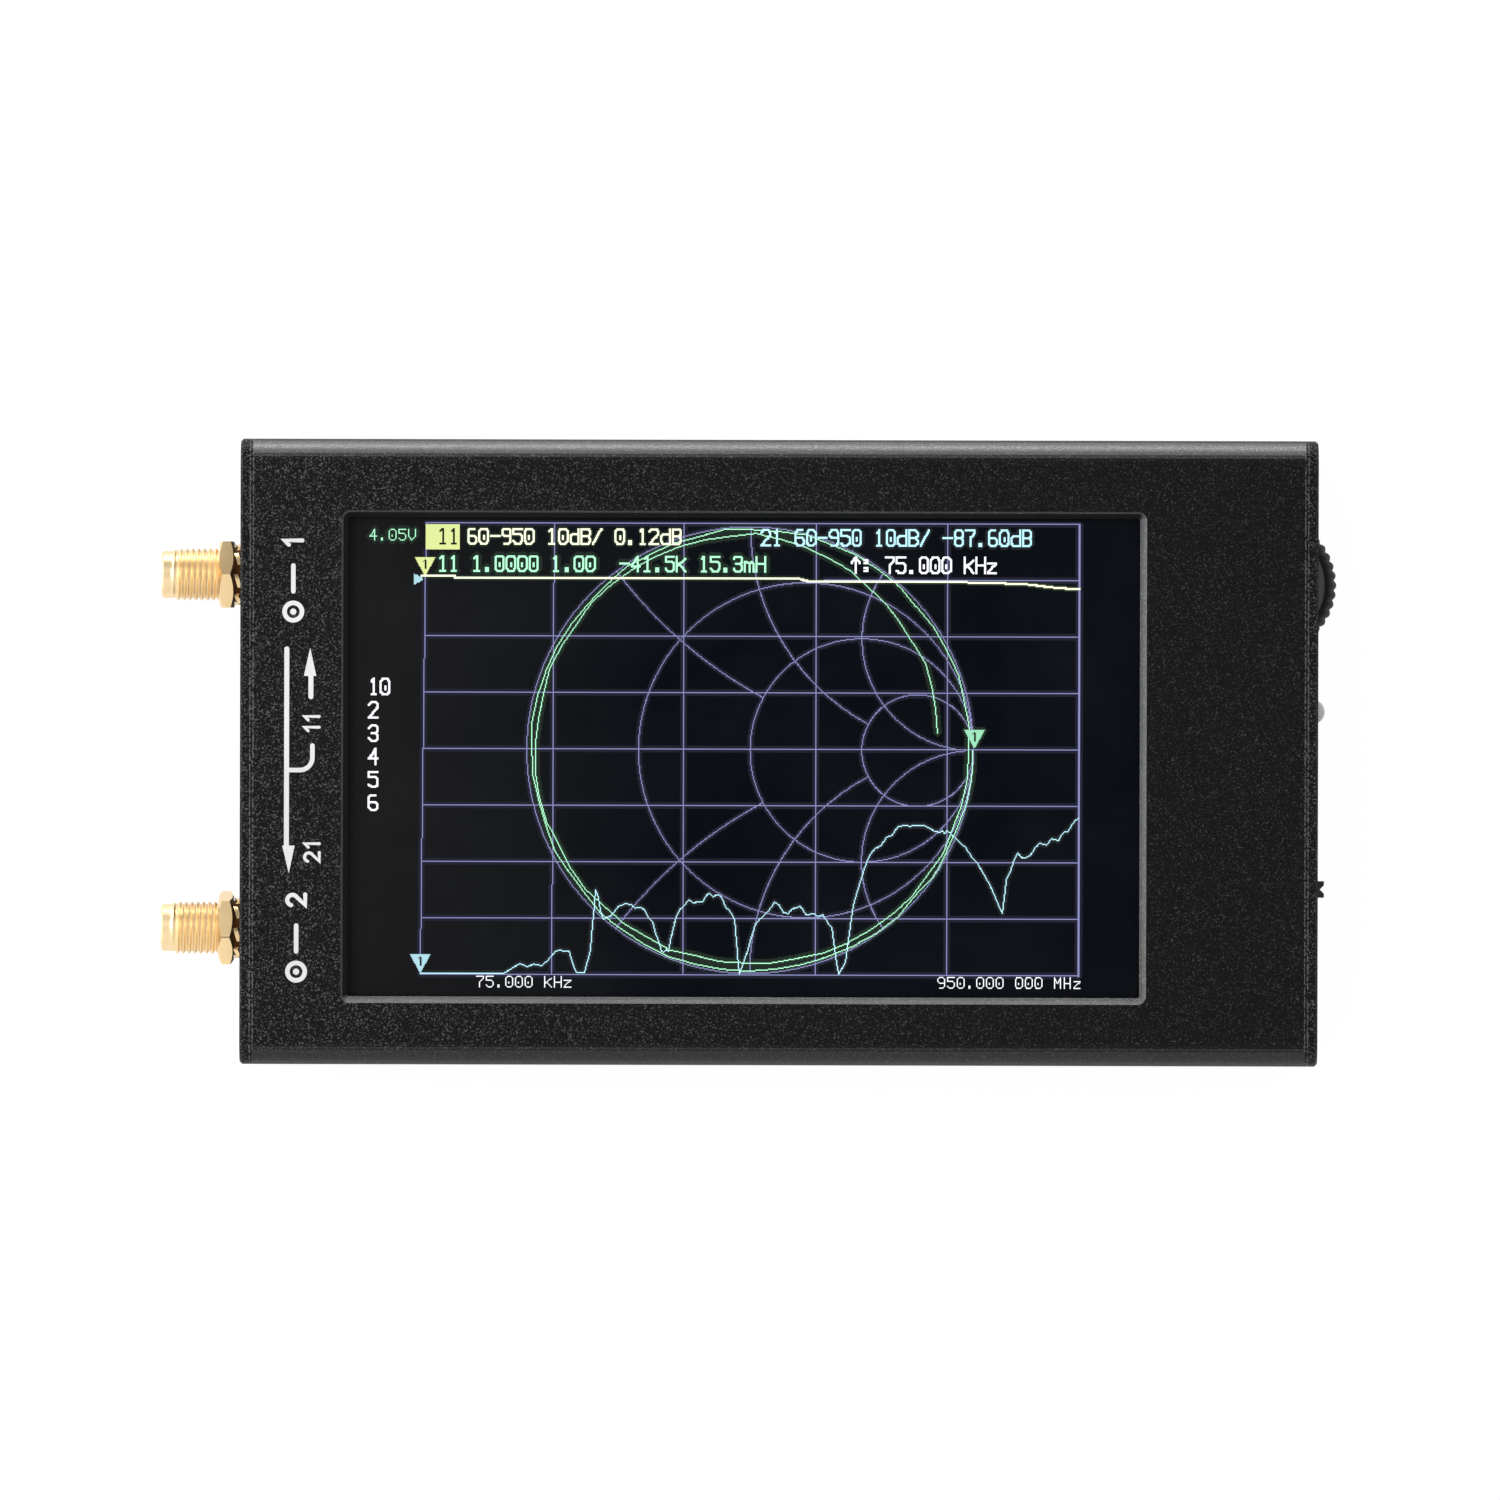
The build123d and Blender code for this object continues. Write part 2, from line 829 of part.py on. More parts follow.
def make_battery_cell():
    cell = block(
        around(battery_x, battery_length),
        around(0, battery_width),
        around(battery_middle(), battery_thickness),
    )
    edges = cell.edges().filter_by(Axis.X)
    return fillet(edges, radius=min(battery_radius, battery_thickness / 2 - seat_gap))


def header_middle():
    """Height of the battery socket's middle, under the board."""
    return board_bottom - solder_gap - header_wall - header_gap - plug_height / 2


def lead_stations():
    """Where a battery lead leaves the cell and where it enters the plug."""
    start = battery_x + battery_length / 2
    return start, start + lead_wire_run


def make_battery_leads():
    """Two short leads that climb straight from the cell to the plug."""
    start, end = lead_stations()
    route = Vector(end - start, 0, header_middle() - battery_middle())
    leads = []
    for side in (-1, 1):
        place = Plane.YZ.offset(start) * Pos(side * lead_wire_spacing / 2, battery_middle())
        leads.append(extrude(place * Circle(lead_wire_radius), amount=route.length, dir=route))
    return Compound(children=leads)


def make_battery_plug():
    start = lead_stations()[1]
    x_range = (start, start + plug_length)
    return block(x_range, around(0, plug_width), around(header_middle(), plug_height))


def make_battery_socket():
    """Header under the board, open towards the battery."""
    mouth = lead_stations()[1] + plug_length - plug_insertion
    back = mouth + plug_insertion + header_gap + header_back
    margin = 2 * (header_gap + header_wall)
    middle = header_middle()
    body = block((mouth, back), around(0, plug_width + margin), around(middle, plug_height + margin))
    inner = 2 * header_gap
    y_range = around(0, plug_width + inner)
    return body - block((mouth, back - header_back), y_range, around(middle, plug_height + inner))


def make_pieces():
    """Every node of the analyzer by name."""
    pieces = {
        "front_shell": make_front_shell(),
        "back_shell": make_back_shell(),
        "port_plate": make_port_plate(),
        "control_plate": make_control_plate(),
        "port_plate_screws": make_plate_screws(-1),
        "control_plate_screws": make_plate_screws(1),
        "display_gasket": make_display_gasket(),
        "display_glass": make_display_glass(),
        "lcd_frame": make_lcd_frame(),
        "lcd_panel": make_lcd_panel(),
        "light_guide": make_light_guide(),
        "display_ribbon": make_display_ribbon(),
        "display_connector": make_display_connector(),
        "main_board": make_main_board(),
        "shield_cans": make_shield_cans(),
        "processor": make_processor(),
        "crystal": make_crystal(),
        "usb_shell": make_usb_shell(),
        "usb_tongue": make_usb_tongue(),
        "status_led": make_status_led(),
        "led_leads": make_led_leads(),
        "switch_body": make_switch_body(),
        "switch_knob": make_switch_knob(),
        "jog_base": make_jog_base(),
        "jog_switch": make_jog_switch(),
        "jog_carrier": make_jog_carrier(),
        "jog_clip": make_jog_clip(),
        "jog_spring": make_jog_spring(),
        "jog_wheel": make_jog_wheel(),
        "battery_pad": make_battery_pad(),
        "battery_cell": make_battery_cell(),
        "battery_leads": make_battery_leads(),
        "battery_plug": make_battery_plug(),
        "battery_socket": make_battery_socket(),
    }
    for row in port_rows:
        pieces[f"port_{row}_jack"] = make_jack(row)
        pieces[f"port_{row}_insulator"] = make_insulator(row)
        pieces[f"port_{row}_contact"] = make_contact(row)
        pieces[f"port_{row}_washer"] = make_washer(row)
        pieces[f"port_{row}_nut"] = make_nut(row)
    return pieces


def main():
    os.makedirs("parts", exist_ok=True)
    for name, shape in make_pieces().items():
        export_step(shape, f"parts/{name}.step")


if __name__ == "__main__":
    main()
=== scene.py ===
"""Looks of a handheld antenna analyzer, built round its packed solids.

Metres, in the frame of the solids: +X runs along the case from the radio jacks to the
controls, +Y across it and +Z out of the display.
"""

import math

import bmesh
import bpy
import numpy as np
from bpy.props import FloatProperty, FloatVectorProperty, IntProperty, PointerProperty
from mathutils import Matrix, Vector


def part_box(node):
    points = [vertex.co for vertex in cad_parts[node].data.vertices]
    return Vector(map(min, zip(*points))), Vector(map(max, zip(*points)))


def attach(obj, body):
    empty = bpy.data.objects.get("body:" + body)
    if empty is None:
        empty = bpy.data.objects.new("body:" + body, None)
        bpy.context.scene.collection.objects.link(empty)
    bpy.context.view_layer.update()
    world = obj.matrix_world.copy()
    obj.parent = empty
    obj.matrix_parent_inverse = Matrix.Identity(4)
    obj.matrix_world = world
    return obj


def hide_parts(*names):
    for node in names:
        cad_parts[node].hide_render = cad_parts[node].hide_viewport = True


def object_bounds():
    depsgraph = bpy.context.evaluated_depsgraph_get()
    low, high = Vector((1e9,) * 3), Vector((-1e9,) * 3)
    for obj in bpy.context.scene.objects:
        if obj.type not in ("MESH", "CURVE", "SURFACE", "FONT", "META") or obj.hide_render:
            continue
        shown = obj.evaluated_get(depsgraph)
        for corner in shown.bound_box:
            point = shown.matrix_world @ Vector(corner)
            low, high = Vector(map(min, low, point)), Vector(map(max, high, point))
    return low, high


bl_info = {
    "name": "Antenna Analyzer",
    "version": (1, 0, 0),
    "blender": (4, 5, 0),
    "location": "View3D > Sidebar > Analyzer",
    "description": "Gives a handheld antenna analyzer its finishes, screen, threads and labels",
    "category": "Object",
}

MM = 0.001
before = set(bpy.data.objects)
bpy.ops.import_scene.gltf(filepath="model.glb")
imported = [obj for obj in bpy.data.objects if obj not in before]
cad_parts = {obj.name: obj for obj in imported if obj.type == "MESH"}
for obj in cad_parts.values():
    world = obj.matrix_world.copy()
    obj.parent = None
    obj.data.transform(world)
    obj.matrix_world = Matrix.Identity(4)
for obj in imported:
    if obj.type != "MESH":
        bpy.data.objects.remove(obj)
solid_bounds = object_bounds()
case_low, case_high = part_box("front_shell")
front_height = case_high.z
glass_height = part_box("display_glass")[1].z
tau = math.tau

# Points closer than the first are one point, and shorter edges than the second are dissolved
MERGE_DISTANCE = 0.0008 * MM
SLIVER_LENGTH = 0.0005 * MM


# Sizes and colours that a user may change


def length(name, description, millimetres, **more):
    """Property that holds a length, with its default in millimetres."""
    return FloatProperty(
        name=name, description=description, default=millimetres * MM, unit="LENGTH",
        precision=5, **more,
    )


def colour(name, description, default):
    """Property that holds a colour."""
    return FloatVectorProperty(
        name=name, description=description, default=default, subtype="COLOR", size=3,
        min=0.0, max=1.0,
    )


class HousingFinish(bpy.types.PropertyGroup):
    """Texture coat of the shells and end plates."""

    coat: colour("Coat", "Colour of the black texture coat", (0.002, 0.002, 0.0021))
    # Painted glint: the light a grain would catch, painted into the coat's colour
    speck: colour("Speck", "Colour of the coat where a grain catches light", (0.1, 0.1, 0.101))
    # Metal showing at the coat's edges, made brighter where they face the port end and +Y as
    # painted highlight
    rubbed: colour("Rubbed", "Colour of the coat's rubbed edges", (0.19, 0.19, 0.191))
    grain: length("Grain", "Distance between two grains of the coat", 0.215)
    relief: length("Relief", "Height of the grains", 0.03)
    bare_edge: length("Bare edge", "Width of the line where the saw cut the shell bare", 0.1)


class LabelPrint(bpy.types.PropertyGroup):
    """White printing on the front."""

    ink: colour("Ink", "Colour of the printing", (0.9, 0.9, 0.9))
    lift: length("Lift", "Height of the ink over the front", 0.004)
    line: length("Line", "Width of the printed lines", 0.55)


class ScreenPicture(bpy.types.PropertyGroup):
    """Picture on the display."""

    columns: IntProperty(name="Columns", description="Dots across the picture", default=800)
    rows: IntProperty(name="Rows", description="Dots down the picture", default=480)
    dot: length("Dot", "Distance between two dots", 0.1174)
    lift: length("Lift", "Height of the picture over the cover glass", 0.02)
    line_strength: FloatProperty(
        name="Line strength", description="Strength of lines one dot wide", default=1.35, min=0.0
    )
    grid: colour("Grid", "Colour of the grid and of the circle chart", (0.21, 0.215, 0.43))
    green: colour("Green", "Colour of the looping trace", (0.42, 0.95, 0.6))
    yellow: colour("Yellow", "Colour of the flat trace", (0.96, 0.99, 0.7))
    cyan: colour("Cyan", "Colour of the peaked trace", (0.48, 0.86, 0.97))
    white: colour("White", "Colour of the plain figures", (0.93, 0.95, 1.0))
    green_mark: colour("Green mark", "Colour of the green pointer", (0.37, 0.86, 0.55))
    yellow_mark: colour("Yellow mark", "Colour of the lit field", (0.83, 0.95, 0.37))
    cyan_mark: colour("Cyan mark", "Colour of the cyan pointers", (0.47, 0.78, 0.88))


class JackShape(bpy.types.PropertyGroup):
    """Threaded jacks with their nuts and washers."""

    gold: colour("Gold", "Colour of the plating", (0.95, 0.7, 0.38))
    pitch: length("Pitch", "Distance between two turns of the thread", 0.7056)
    crest: length("Crest", "Outer radius of the thread", 3.175)
    root: length("Root", "Radius at the bottom of the thread", 2.86)
    lead: length("Lead", "Length of the plain end before the thread", 1.3)
    nut_flats: length("Nut flats", "Width of the nut across its flats", 8.0)
    nut_turn: FloatProperty(
        name="Nut turn", description="How far the first nut was tightened",
        default=math.radians(30), subtype="ANGLE",
    )
    second_nut_turn: FloatProperty(
        name="Second nut turn", description="How far the second nut was tightened",
        default=math.radians(44.3), subtype="ANGLE",
    )
    teeth: IntProperty(name="Teeth", description="Teeth of each lock washer", default=8, min=4)


class WheelShape(bpy.types.PropertyGroup):
    """Ribbed thumbwheel."""

    plastic: colour("Plastic", "Colour of the wheel", (0.03, 0.03, 0.0305))
    ribs: IntProperty(name="Ribs", description="Ribs round the wheel", default=43, min=8)
    rib_depth: length("Rib depth", "Depth of the valleys between the ribs", 0.3)
    bevel: length("Bevel", "Rounding of the wheel's two edges", 0.3)


class ScrewShape(bpy.types.PropertyGroup):
    """Countersunk screws of the end plates."""

    socket_flats: length("Socket flats", "Width of the socket across its flats", 1.5)
    socket_depth: length("Socket depth", "Depth of the socket", 0.9)


class StageSetup(bpy.types.PropertyGroup):
    """Camera, lamps and floor."""

    camera_x: length("Camera X", "Place of the camera along the case", -3.5)
    camera_y: length("Camera Y", "Place of the camera across the case", 0.31)
    camera_height: length("Camera height", "Height of the camera over the table", 2022.0)
    roll: FloatProperty(
        name="Roll", description="Turn of the camera about its line of sight",
        default=math.radians(0.15), subtype="ANGLE",
    )
    lens: FloatProperty(
        name="Lens", description="Focal length in millimetres", default=398.2, min=1.0
    )
    ambient: FloatProperty(
        name="Ambient", description="Even light from all round", default=0.6, min=0.0
    )


SETTINGS = {
    "analyzer_housing": HousingFinish,
    "analyzer_labels": LabelPrint,
    "analyzer_screen": ScreenPicture,
    "analyzer_jacks": JackShape,
    "analyzer_wheel": WheelShape,
    "analyzer_screws": ScrewShape,
    "analyzer_stage": StageSetup,
}


# Meshes


def grid_faces(start, rows, columns, closed):
    """Faces between the rows of a grid of points.

    The last column is joined to the first if the grid is closed.
    """
    faces = []
    for row in range(rows - 1):
        for column in range(columns if closed else columns - 1):
            here = start + row * columns
            after = (column + 1) % columns
            faces.append(
                (here + column, here + after, here + columns + after, here + columns + column)
            )
    return faces


def mesh_from_grids(name, grids, extra=None, sharp_angle=math.radians(32)):
    """One mesh from grids of points, given with whether each closes on itself.

    extra is a ready mesh that becomes part of it. Edges over the sharp angle stay crisp.
    """
    points, faces = [], []
    for grid, closed in grids:
        rows, columns = grid.shape[:2]
        faces += grid_faces(len(points), rows, columns, closed)
        points += [tuple(point) for point in grid.reshape(-1, 3)]
    mesh = bpy.data.meshes.new(name)
    mesh.from_pydata(points, [], faces)
    work = bmesh.new()
    work.from_mesh(mesh)
    if extra is not None:
        work.from_mesh(extra)
    bmesh.ops.remove_doubles(work, verts=work.verts, dist=MERGE_DISTANCE)
    bmesh.ops.dissolve_degenerate(work, edges=work.edges, dist=SLIVER_LENGTH)
    bmesh.ops.recalc_face_normals(work, faces=work.faces)
    for face in work.faces:
        face.smooth = True
    for edge in work.edges:
        edge.smooth = edge.calc_face_angle(math.pi) < sharp_angle
    work.to_mesh(mesh)
    work.free()
    return mesh


def add_piece(mesh, material, body, replaced=()):
    """Put a mesh in the scene as a piece of its name that moves with a body."""
    piece = bpy.data.objects.new(mesh.name, mesh)
    bpy.context.scene.collection.objects.link(piece)
    mesh.materials.clear()
    mesh.materials.append(material)
    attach(piece, body)
    if replaced:
        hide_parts(*replaced)


def turns(count):
    """Angles once round."""
    return np.arange(count) * tau / count


def ring_about_x(x, radius, angles, centre):
    """Points round a line along X through centre.

    x and radius may each be one value or one for every angle.
    """
    x = np.broadcast_to(x, angles.shape)
    y = centre.y + radius * np.cos(angles)
    z = centre.z + radius * np.sin(angles)
    return np.stack((x, y, z), axis=-1)


def lathe(outline, angles, centre):
    """Closed grid of an outline of x and radius pairs, turned about a line along X."""
    return np.array([ring_about_x(x, radius, angles, centre) for x, radius in outline]), True


def hexagon_radius(angles, flats, turn):
    """Distance from the centre of a hexagon to its outline."""
    return flats / 2 / np.cos((angles - turn) % (tau / 6) - tau / 12)


def middle_of(node):
    """Centre of a packed solid's box."""
    low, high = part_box(node)
    return (low + high) / 2


# Shader building


def feed(node, socket, source):
    """Give an input a socket to follow, or a plain number or colour."""
    if isinstance(source, bpy.types.NodeSocket):
        node.id_data.links.new(source, node.inputs[socket])
    elif isinstance(source, (int, float)):
        node.inputs[socket].default_value = source
    else:
        node.inputs[socket].default_value = (*source, 1.0)


def add_node(tree, kind, values=None, **settings):
    """A new shader node; settings go to its fields and values to its inputs."""
    node = tree.nodes.new(f"ShaderNode{kind}")
    for name, value in settings.items():
        setattr(node, name, value)
    for socket, value in (values or {}).items():
        feed(node, socket, value)
    return node


def math_node(operation, *sources):
    """The result of a Math node fed with sockets and plain numbers."""
    tree = next(source.id_data for source in sources if isinstance(source, bpy.types.NodeSocket))
    return add_node(tree, "Math", dict(enumerate(sources)), operation=operation).outputs[0]


def ramp(source, low, high, to_low=0.0, to_high=1.0):
    """A source stretched from low..high to to_low..to_high and clamped there."""
    values = dict(enumerate((source, low, high, to_low, to_high)))
    return add_node(source.id_data, "MapRange", values).outputs[0]


def mix_colours(mask, first, second):
    """A mix of two colours or colour sockets by a mask."""
    values = {0: mask, 6: first, 7: second}
    return add_node(mask.id_data, "Mix", values, data_type="RGBA").outputs[2]


def noise(place, scale, detail, roughness=0.5, distortion=0.0):
    """Noise over a place."""
    values = {"Vector": place, "Scale": scale, "Detail": detail, "Roughness": roughness,
              "Distortion": distortion}
    return add_node(place.id_data, "TexNoise", values).outputs[0]


def object_place(tree):
    """Place on the object, in metres."""
    return add_node(tree, "TexCoord").outputs["Object"]


def axes(place):
    """X, Y and Z of a place or a direction."""
    return add_node(place.id_data, "SeparateXYZ", {0: place}).outputs


def scaled_place(tree, size, stretch=(1.0, 1.0, 1.0)):
    """Place on the object counted in steps of the size socket, squeezed along some axes."""
    squeezed = add_node(tree, "VectorMath", {0: object_place(tree)}, operation="MULTIPLY")
    squeezed.inputs[1].default_value = stretch
    values = {0: squeezed.outputs[0], "Scale": math_node("DIVIDE", 1.0, size)}
    return add_node(tree, "VectorMath", values, operation="SCALE").outputs[0]


def shader_group(name, **inputs):
    """Turn a function that wires a tree into one that gives a node group, made once.

    The wiring function takes the tree and its inputs in order, and gives its outputs by name.
    """
    def add_socket(tree, socket, direction):
        return tree.interface.new_socket(socket, in_out=direction, socket_type="NodeSocketFloat")

    def keep(wire):
        def group():
            if name not in bpy.data.node_groups:
                tree = bpy.data.node_groups.new(name, "ShaderNodeTree")
                for socket, default in inputs.items():
                    add_socket(tree, socket, "INPUT").default_value = default
                entry = tree.nodes.new("NodeGroupInput")
                results = wire(tree, *(entry.outputs[socket] for socket in inputs))
                for socket in results:
                    add_socket(tree, socket, "OUTPUT")
                leave = tree.nodes.new("NodeGroupOutput")
                for socket, source in results.items():
                    feed(leave, socket, source)
            return bpy.data.node_groups[name]
        return group
    return keep


@shader_group("Fine grain", Size=0.4 * MM, Specks=0.3)
def grain_group(tree, size, specks):
    """Fine grain: the height of its lumps, and a mask of those that get a painted glint."""
    place = scaled_place(tree, size)
    lumps = noise(place, 1.0, 2.0)
    top = ramp(lumps, 0.55, 0.72)
    patch = ramp(noise(place, 0.23, 2.0, 0.6), 0.35, 0.65, 0.35, 1.0)
    speck = math_node("MULTIPLY", top, math_node("MULTIPLY", patch, specks))
    return {"Height": lumps, "Speck": speck}


@shader_group("Handling marks", Size=12 * MM)
def marks_group(tree, size):
    """Soft uneven patches left by handling and dust."""
    cloud = noise(scaled_place(tree, size), 1.0, 6.0, 0.62, 0.4)
    return {"Mask": ramp(cloud, 0.38, 0.66)}


@shader_group("Turning marks", Size=0.12 * MM)
def turning_group(tree, size):
    """Fine rings that a lathe or a drawing die leaves across the X axis."""
    return {"Height": noise(scaled_place(tree, size, (1.0, 0.04, 0.04)), 1.0, 2.0, 0.7)}


@shader_group("Bare line", Station=63.5 * MM, Width=0.14 * MM)
def bare_line_group(tree, station, width):
    """Two speckled bare lines at each end: the saw cut of the shell and the plate's rim."""
    place = object_place(tree)
    beyond = math_node("SUBTRACT", math_node("ABSOLUTE", axes(place)["X"]), station)
    saw_cut = math_node("ABSOLUTE", math_node("ADD", beyond, 0.07 * MM))
    plate_rim = math_node("ABSOLUTE", math_node("SUBTRACT", beyond, 0.3 * MM))
    away = math_node("MINIMUM", saw_cut, plate_rim)
    speckled = ramp(noise(place, 2600.0, 2.0), 0.4, 0.62)
    return {"Mask": math_node("LESS_THAN", away, math_node("MULTIPLY", width, speckled))}


@shader_group("Rubbed edge", Front=0.0, Window=34 * MM)
def rubbed_edge_group(tree, front, window):
    """Where metal shows through the coat on rounded and cut edges, and how bright it is there.

    The edges that face the port end and +Y are brightest, a painted highlight over the wear,
    and of the window's cut edges the rim at the front. Window is how far across the case its
    cut edges may reach.
    """
    tilt = axes(add_node(tree, "NewGeometry").outputs["True Normal"])
    rise = math_node("ABSOLUTE", tilt["Z"])
    mask = math_node("MULTIPLY", ramp(rise, 0.98, 0.88), ramp(rise, 0.3, 0.5))
    portward = math_node("MULTIPLY", tilt["X"], -0.6)
    # Painted highlight: edges facing +Y or the port end are made brighter, as if lit from there
    lit_facing = ramp(math_node("MAXIMUM", tilt["Y"], portward), 0.2, 0.5)
    spot = axes(object_place(tree))
    depth = math_node("SUBTRACT", front, spot["Z"])
    rim = ramp(depth, 0.5 * MM, 0.4 * MM, 0.75, 1.0)
    thin_rim = ramp(depth, 0.28 * MM, 0.16 * MM, 0.05, 0.5)
    outside = math_node("GREATER_THAN", math_node("ABSOLUTE", spot["Y"]), window)
    most = math_node("MAXIMUM", ramp(outside, 0.0, 1.0, 0.0, 0.95), rim)
    least = math_node("MAXIMUM", ramp(outside, 0.0, 1.0, 0.0, 0.26), thin_rim)
    share = math_node("MULTIPLY", most, lit_facing)
    rest = math_node("MULTIPLY", least, math_node("SUBTRACT", 1.0, lit_facing))
    return {"Mask": mask, "Level": math_node("ADD", share, rest)}


def shader_material(name, **values):
    """A material and its Principled shader.

    Plain values are set on the shader's own sockets, by name with _ for a space.
    """
    material = bpy.data.materials.new(name)
    material.use_nodes = True
    shader = material.node_tree.nodes["Principled BSDF"]
    for socket, value in values.items():
        feed(shader, socket.replace("_", " "), value)
    return material, shader


def place_group(shader, group, **values):
    """The outputs of a node group placed in the shader's material with its own values."""
    return add_node(shader.id_data, "Group", values, node_tree=group()).outputs


def bump(shader, height, depth, strength=1.0):
    """Raise the surface by a height socket, depth metres for a height of one."""
    values = {"Strength": strength, "Distance": depth, "Height": height}
    feed(shader, "Normal", add_node(shader.id_data, "Bump", values).outputs[0])


def lay_out(tree):
    """Put each node a column left of those that it feeds."""
    columns, filled = {}, {}

    def visit(node, column):
        if columns.get(node.name, -1) < column:
            columns[node.name] = column
            for socket in node.inputs:
                for link in socket.links:
                    visit(link.from_node, column + 1)

    for node in tree.nodes:
        if not any(socket.is_linked for socket in node.outputs):
            visit(node, 0)
    for name, column in columns.items():
        row = filled[column] = filled.get(column, -1) + 1
        tree.nodes[name].location = (-220 * column, -280 * row)


def grained_finish(name, base, roughness, grain=0.3, relief=0.004, mottle=0.12, turned=False,
                   **values):
    """A finish with fine grain in its relief and soft patches in its colour and gloss.

    Grain and relief are in millimetres; other values go to the shader, by socket name.
    """
    material, shader = shader_material(name, **values)
    marks = place_group(shader, marks_group, Size=9 * MM)["Mask"]
    darker = tuple(part * (1 - mottle) for part in base)
    lighter = tuple(min(part * (1 + mottle), 1.0) for part in base)
    feed(shader, "Base Color", mix_colours(marks, darker, lighter))
    glossy, dull = roughness * 0.85, min(roughness * 1.15, 1.0)
    feed(shader, "Roughness", ramp(marks, 0.0, 1.0, glossy, dull))
    fine = place_group(shader, turning_group if turned else grain_group, Size=grain * MM)
    bump(shader, fine["Height"], relief * MM)
    return material


def dusting(tree):
    """Painted light on the glints: most at the port end, less from the middle on."""
    rise = ramp(axes(object_place(tree))["X"], 45 * MM, case_low.x)
    return ramp(math_node("POWER", rise, 1.7), 0.0, 1.0, 0.75, 2.4)


def texture_coat(name, look, rubbed):
    """Black texture coat with painted glints; its edges show metal and painted highlight."""
    black, bare_metal, plate_share = (0.002, 0.002, 0.002), (0.12, 0.12, 0.12), 2.6
    material, shader = shader_material(name, Specular_IOR_Level=0.14)
    grain = place_group(shader, grain_group, Size=look.grain, Specks=1.0)
    marks = place_group(shader, marks_group, Size=16 * MM)["Mask"]
    bare = place_group(shader, bare_line_group, Station=case_high.x, Width=look.bare_edge)
    # Painted light: the glints are painted brighter towards the port end, as if lit from there
    share = dusting(shader.id_data) if rubbed else plate_share
    # Painted glints: grains that would catch light are painted the lighter colour
    speck = math_node("MULTIPLY", grain["Speck"], share)
    coat = mix_colours(bare["Mask"], mix_colours(speck, look.coat, look.speck), bare_metal)
    gloss = ramp(marks, 0.0, 1.0, 0.455, 0.505)
    if rubbed:
        edge = place_group(shader, rubbed_edge_group, Front=front_height)
        uneven = ramp(grain["Speck"], 0.0, 0.5, 0.75, 1.5)
        # Edges show metal where the coat wears, with painted highlight on those facing the port
        # end and +Y
        metal = mix_colours(math_node("MULTIPLY", edge["Level"], uneven), black, look.rubbed)
        coat = mix_colours(edge["Mask"], coat, metal)
        feed(shader, "Metallic", math_node("MULTIPLY", edge["Mask"], 0.6))
        gloss = math_node("MULTIPLY", gloss, ramp(edge["Mask"], 0.0, 1.0, 1.0, 0.8))
    feed(shader, "Base Color", coat)
    feed(shader, "Roughness", gloss)
    bump(shader, grain["Height"], look.relief, 0.8)
    return material


def dress(material, *nodes):
    """Give packed solids a finish."""
    for node in nodes:
        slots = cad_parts[node].data.materials
        slots.clear()
        slots.append(material)


# Screws


def screw_mesh(end, side, look):
    """Four countersunk screws with hexagon sockets at one end of the case."""
    low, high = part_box(f"{end}_plate_screws")
    head_x, tip_x = (low.x, high.x) if side < 0 else (high.x, low.x)
    head_radius, shank_radius, point_radius = 2.15 * MM, 1.2 * MM, 0.02 * MM
    mouth, rim, taper = 0.08 * MM, 0.06 * MM, 0.3 * MM
    angles = turns(48)
    socket = hexagon_radius(angles, look.socket_flats, 0.0)
    outline = [
        (head_x - side * look.socket_depth * 1.35, point_radius),
        (head_x - side * look.socket_depth, socket * 0.96),
        (head_x - side * mouth, socket),
        (head_x, socket + mouth),
        (head_x, head_radius - rim),
        (head_x - side * rim, head_radius),
        (head_x - side * (head_radius - shank_radius), shank_radius),
        (tip_x + side * taper, shank_radius),
        (tip_x, shank_radius * 0.75),
        (tip_x, point_radius),
    ]
    grids = [
        lathe(outline, angles, Vector((0, y, z)))
        for y in (low.y + head_radius, high.y - head_radius)
        for z in (low.z + head_radius, high.z - head_radius)
    ]
    return mesh_from_grids(f"{end}_screws", grids)


class ANALYZER_OT_coat_housing(bpy.types.Operator):
    """Coat the shells and end plates and add their screws"""

    bl_idname = "analyzer.coat_housing"
    bl_label = "Coat the housing"

    def execute(self, context):
        look = context.scene.analyzer_housing
        dress(texture_coat("Texture coat", look, True), "front_shell", "back_shell")
        dress(texture_coat("Plate coat", look, False), "port_plate", "control_plate")
        black = grained_finish("Black screw steel", (0.022, 0.022, 0.023), 0.38, grain=0.08,
                               relief=0.003, Metallic=0.6)
        shape = context.scene.analyzer_screws
        for end, side in (("port", -1), ("control", 1)):
            add_piece(screw_mesh(end, side, shape), black, "case",
                      [f"{end}_plate_screws"])
        return {"FINISHED"}


# Labels


def stroke_faces(path, width, height, points, faces, cap_steps=12):
    """Add a flat line of constant width with round ends to a list of points and faces."""
    half = width / 2
    path = [Vector(point) for point in path]
    steps = [(after - before).normalized() for before, after in zip(path, path[1:])]
    first = len(points)
    for index, point in enumerate(path):
        before = steps[max(index - 1, 0)]
        after = steps[min(index, len(steps) - 1)]
        across = (before + after).normalized().orthogonal()
        reach = half / max(across.dot(after.orthogonal()), 0.5)
        points += [(*(point + across * reach), height), (*(point - across * reach), height)]
    for index in range(len(path) - 1):
        here = first + 2 * index
        faces.append((here, here + 1, here + 3, here + 2))
    for point, step in ((path[0], -steps[0]), (path[-1], steps[-1])):
        start = len(points)
        across = step.orthogonal()
        for turn in range(cap_steps + 1):
            angle = math.pi * turn / cap_steps
            offset = across * math.cos(angle) + step * math.sin(angle)
            points.append((*(point + offset * half), height))
        faces.append(tuple(range(start, len(points))))


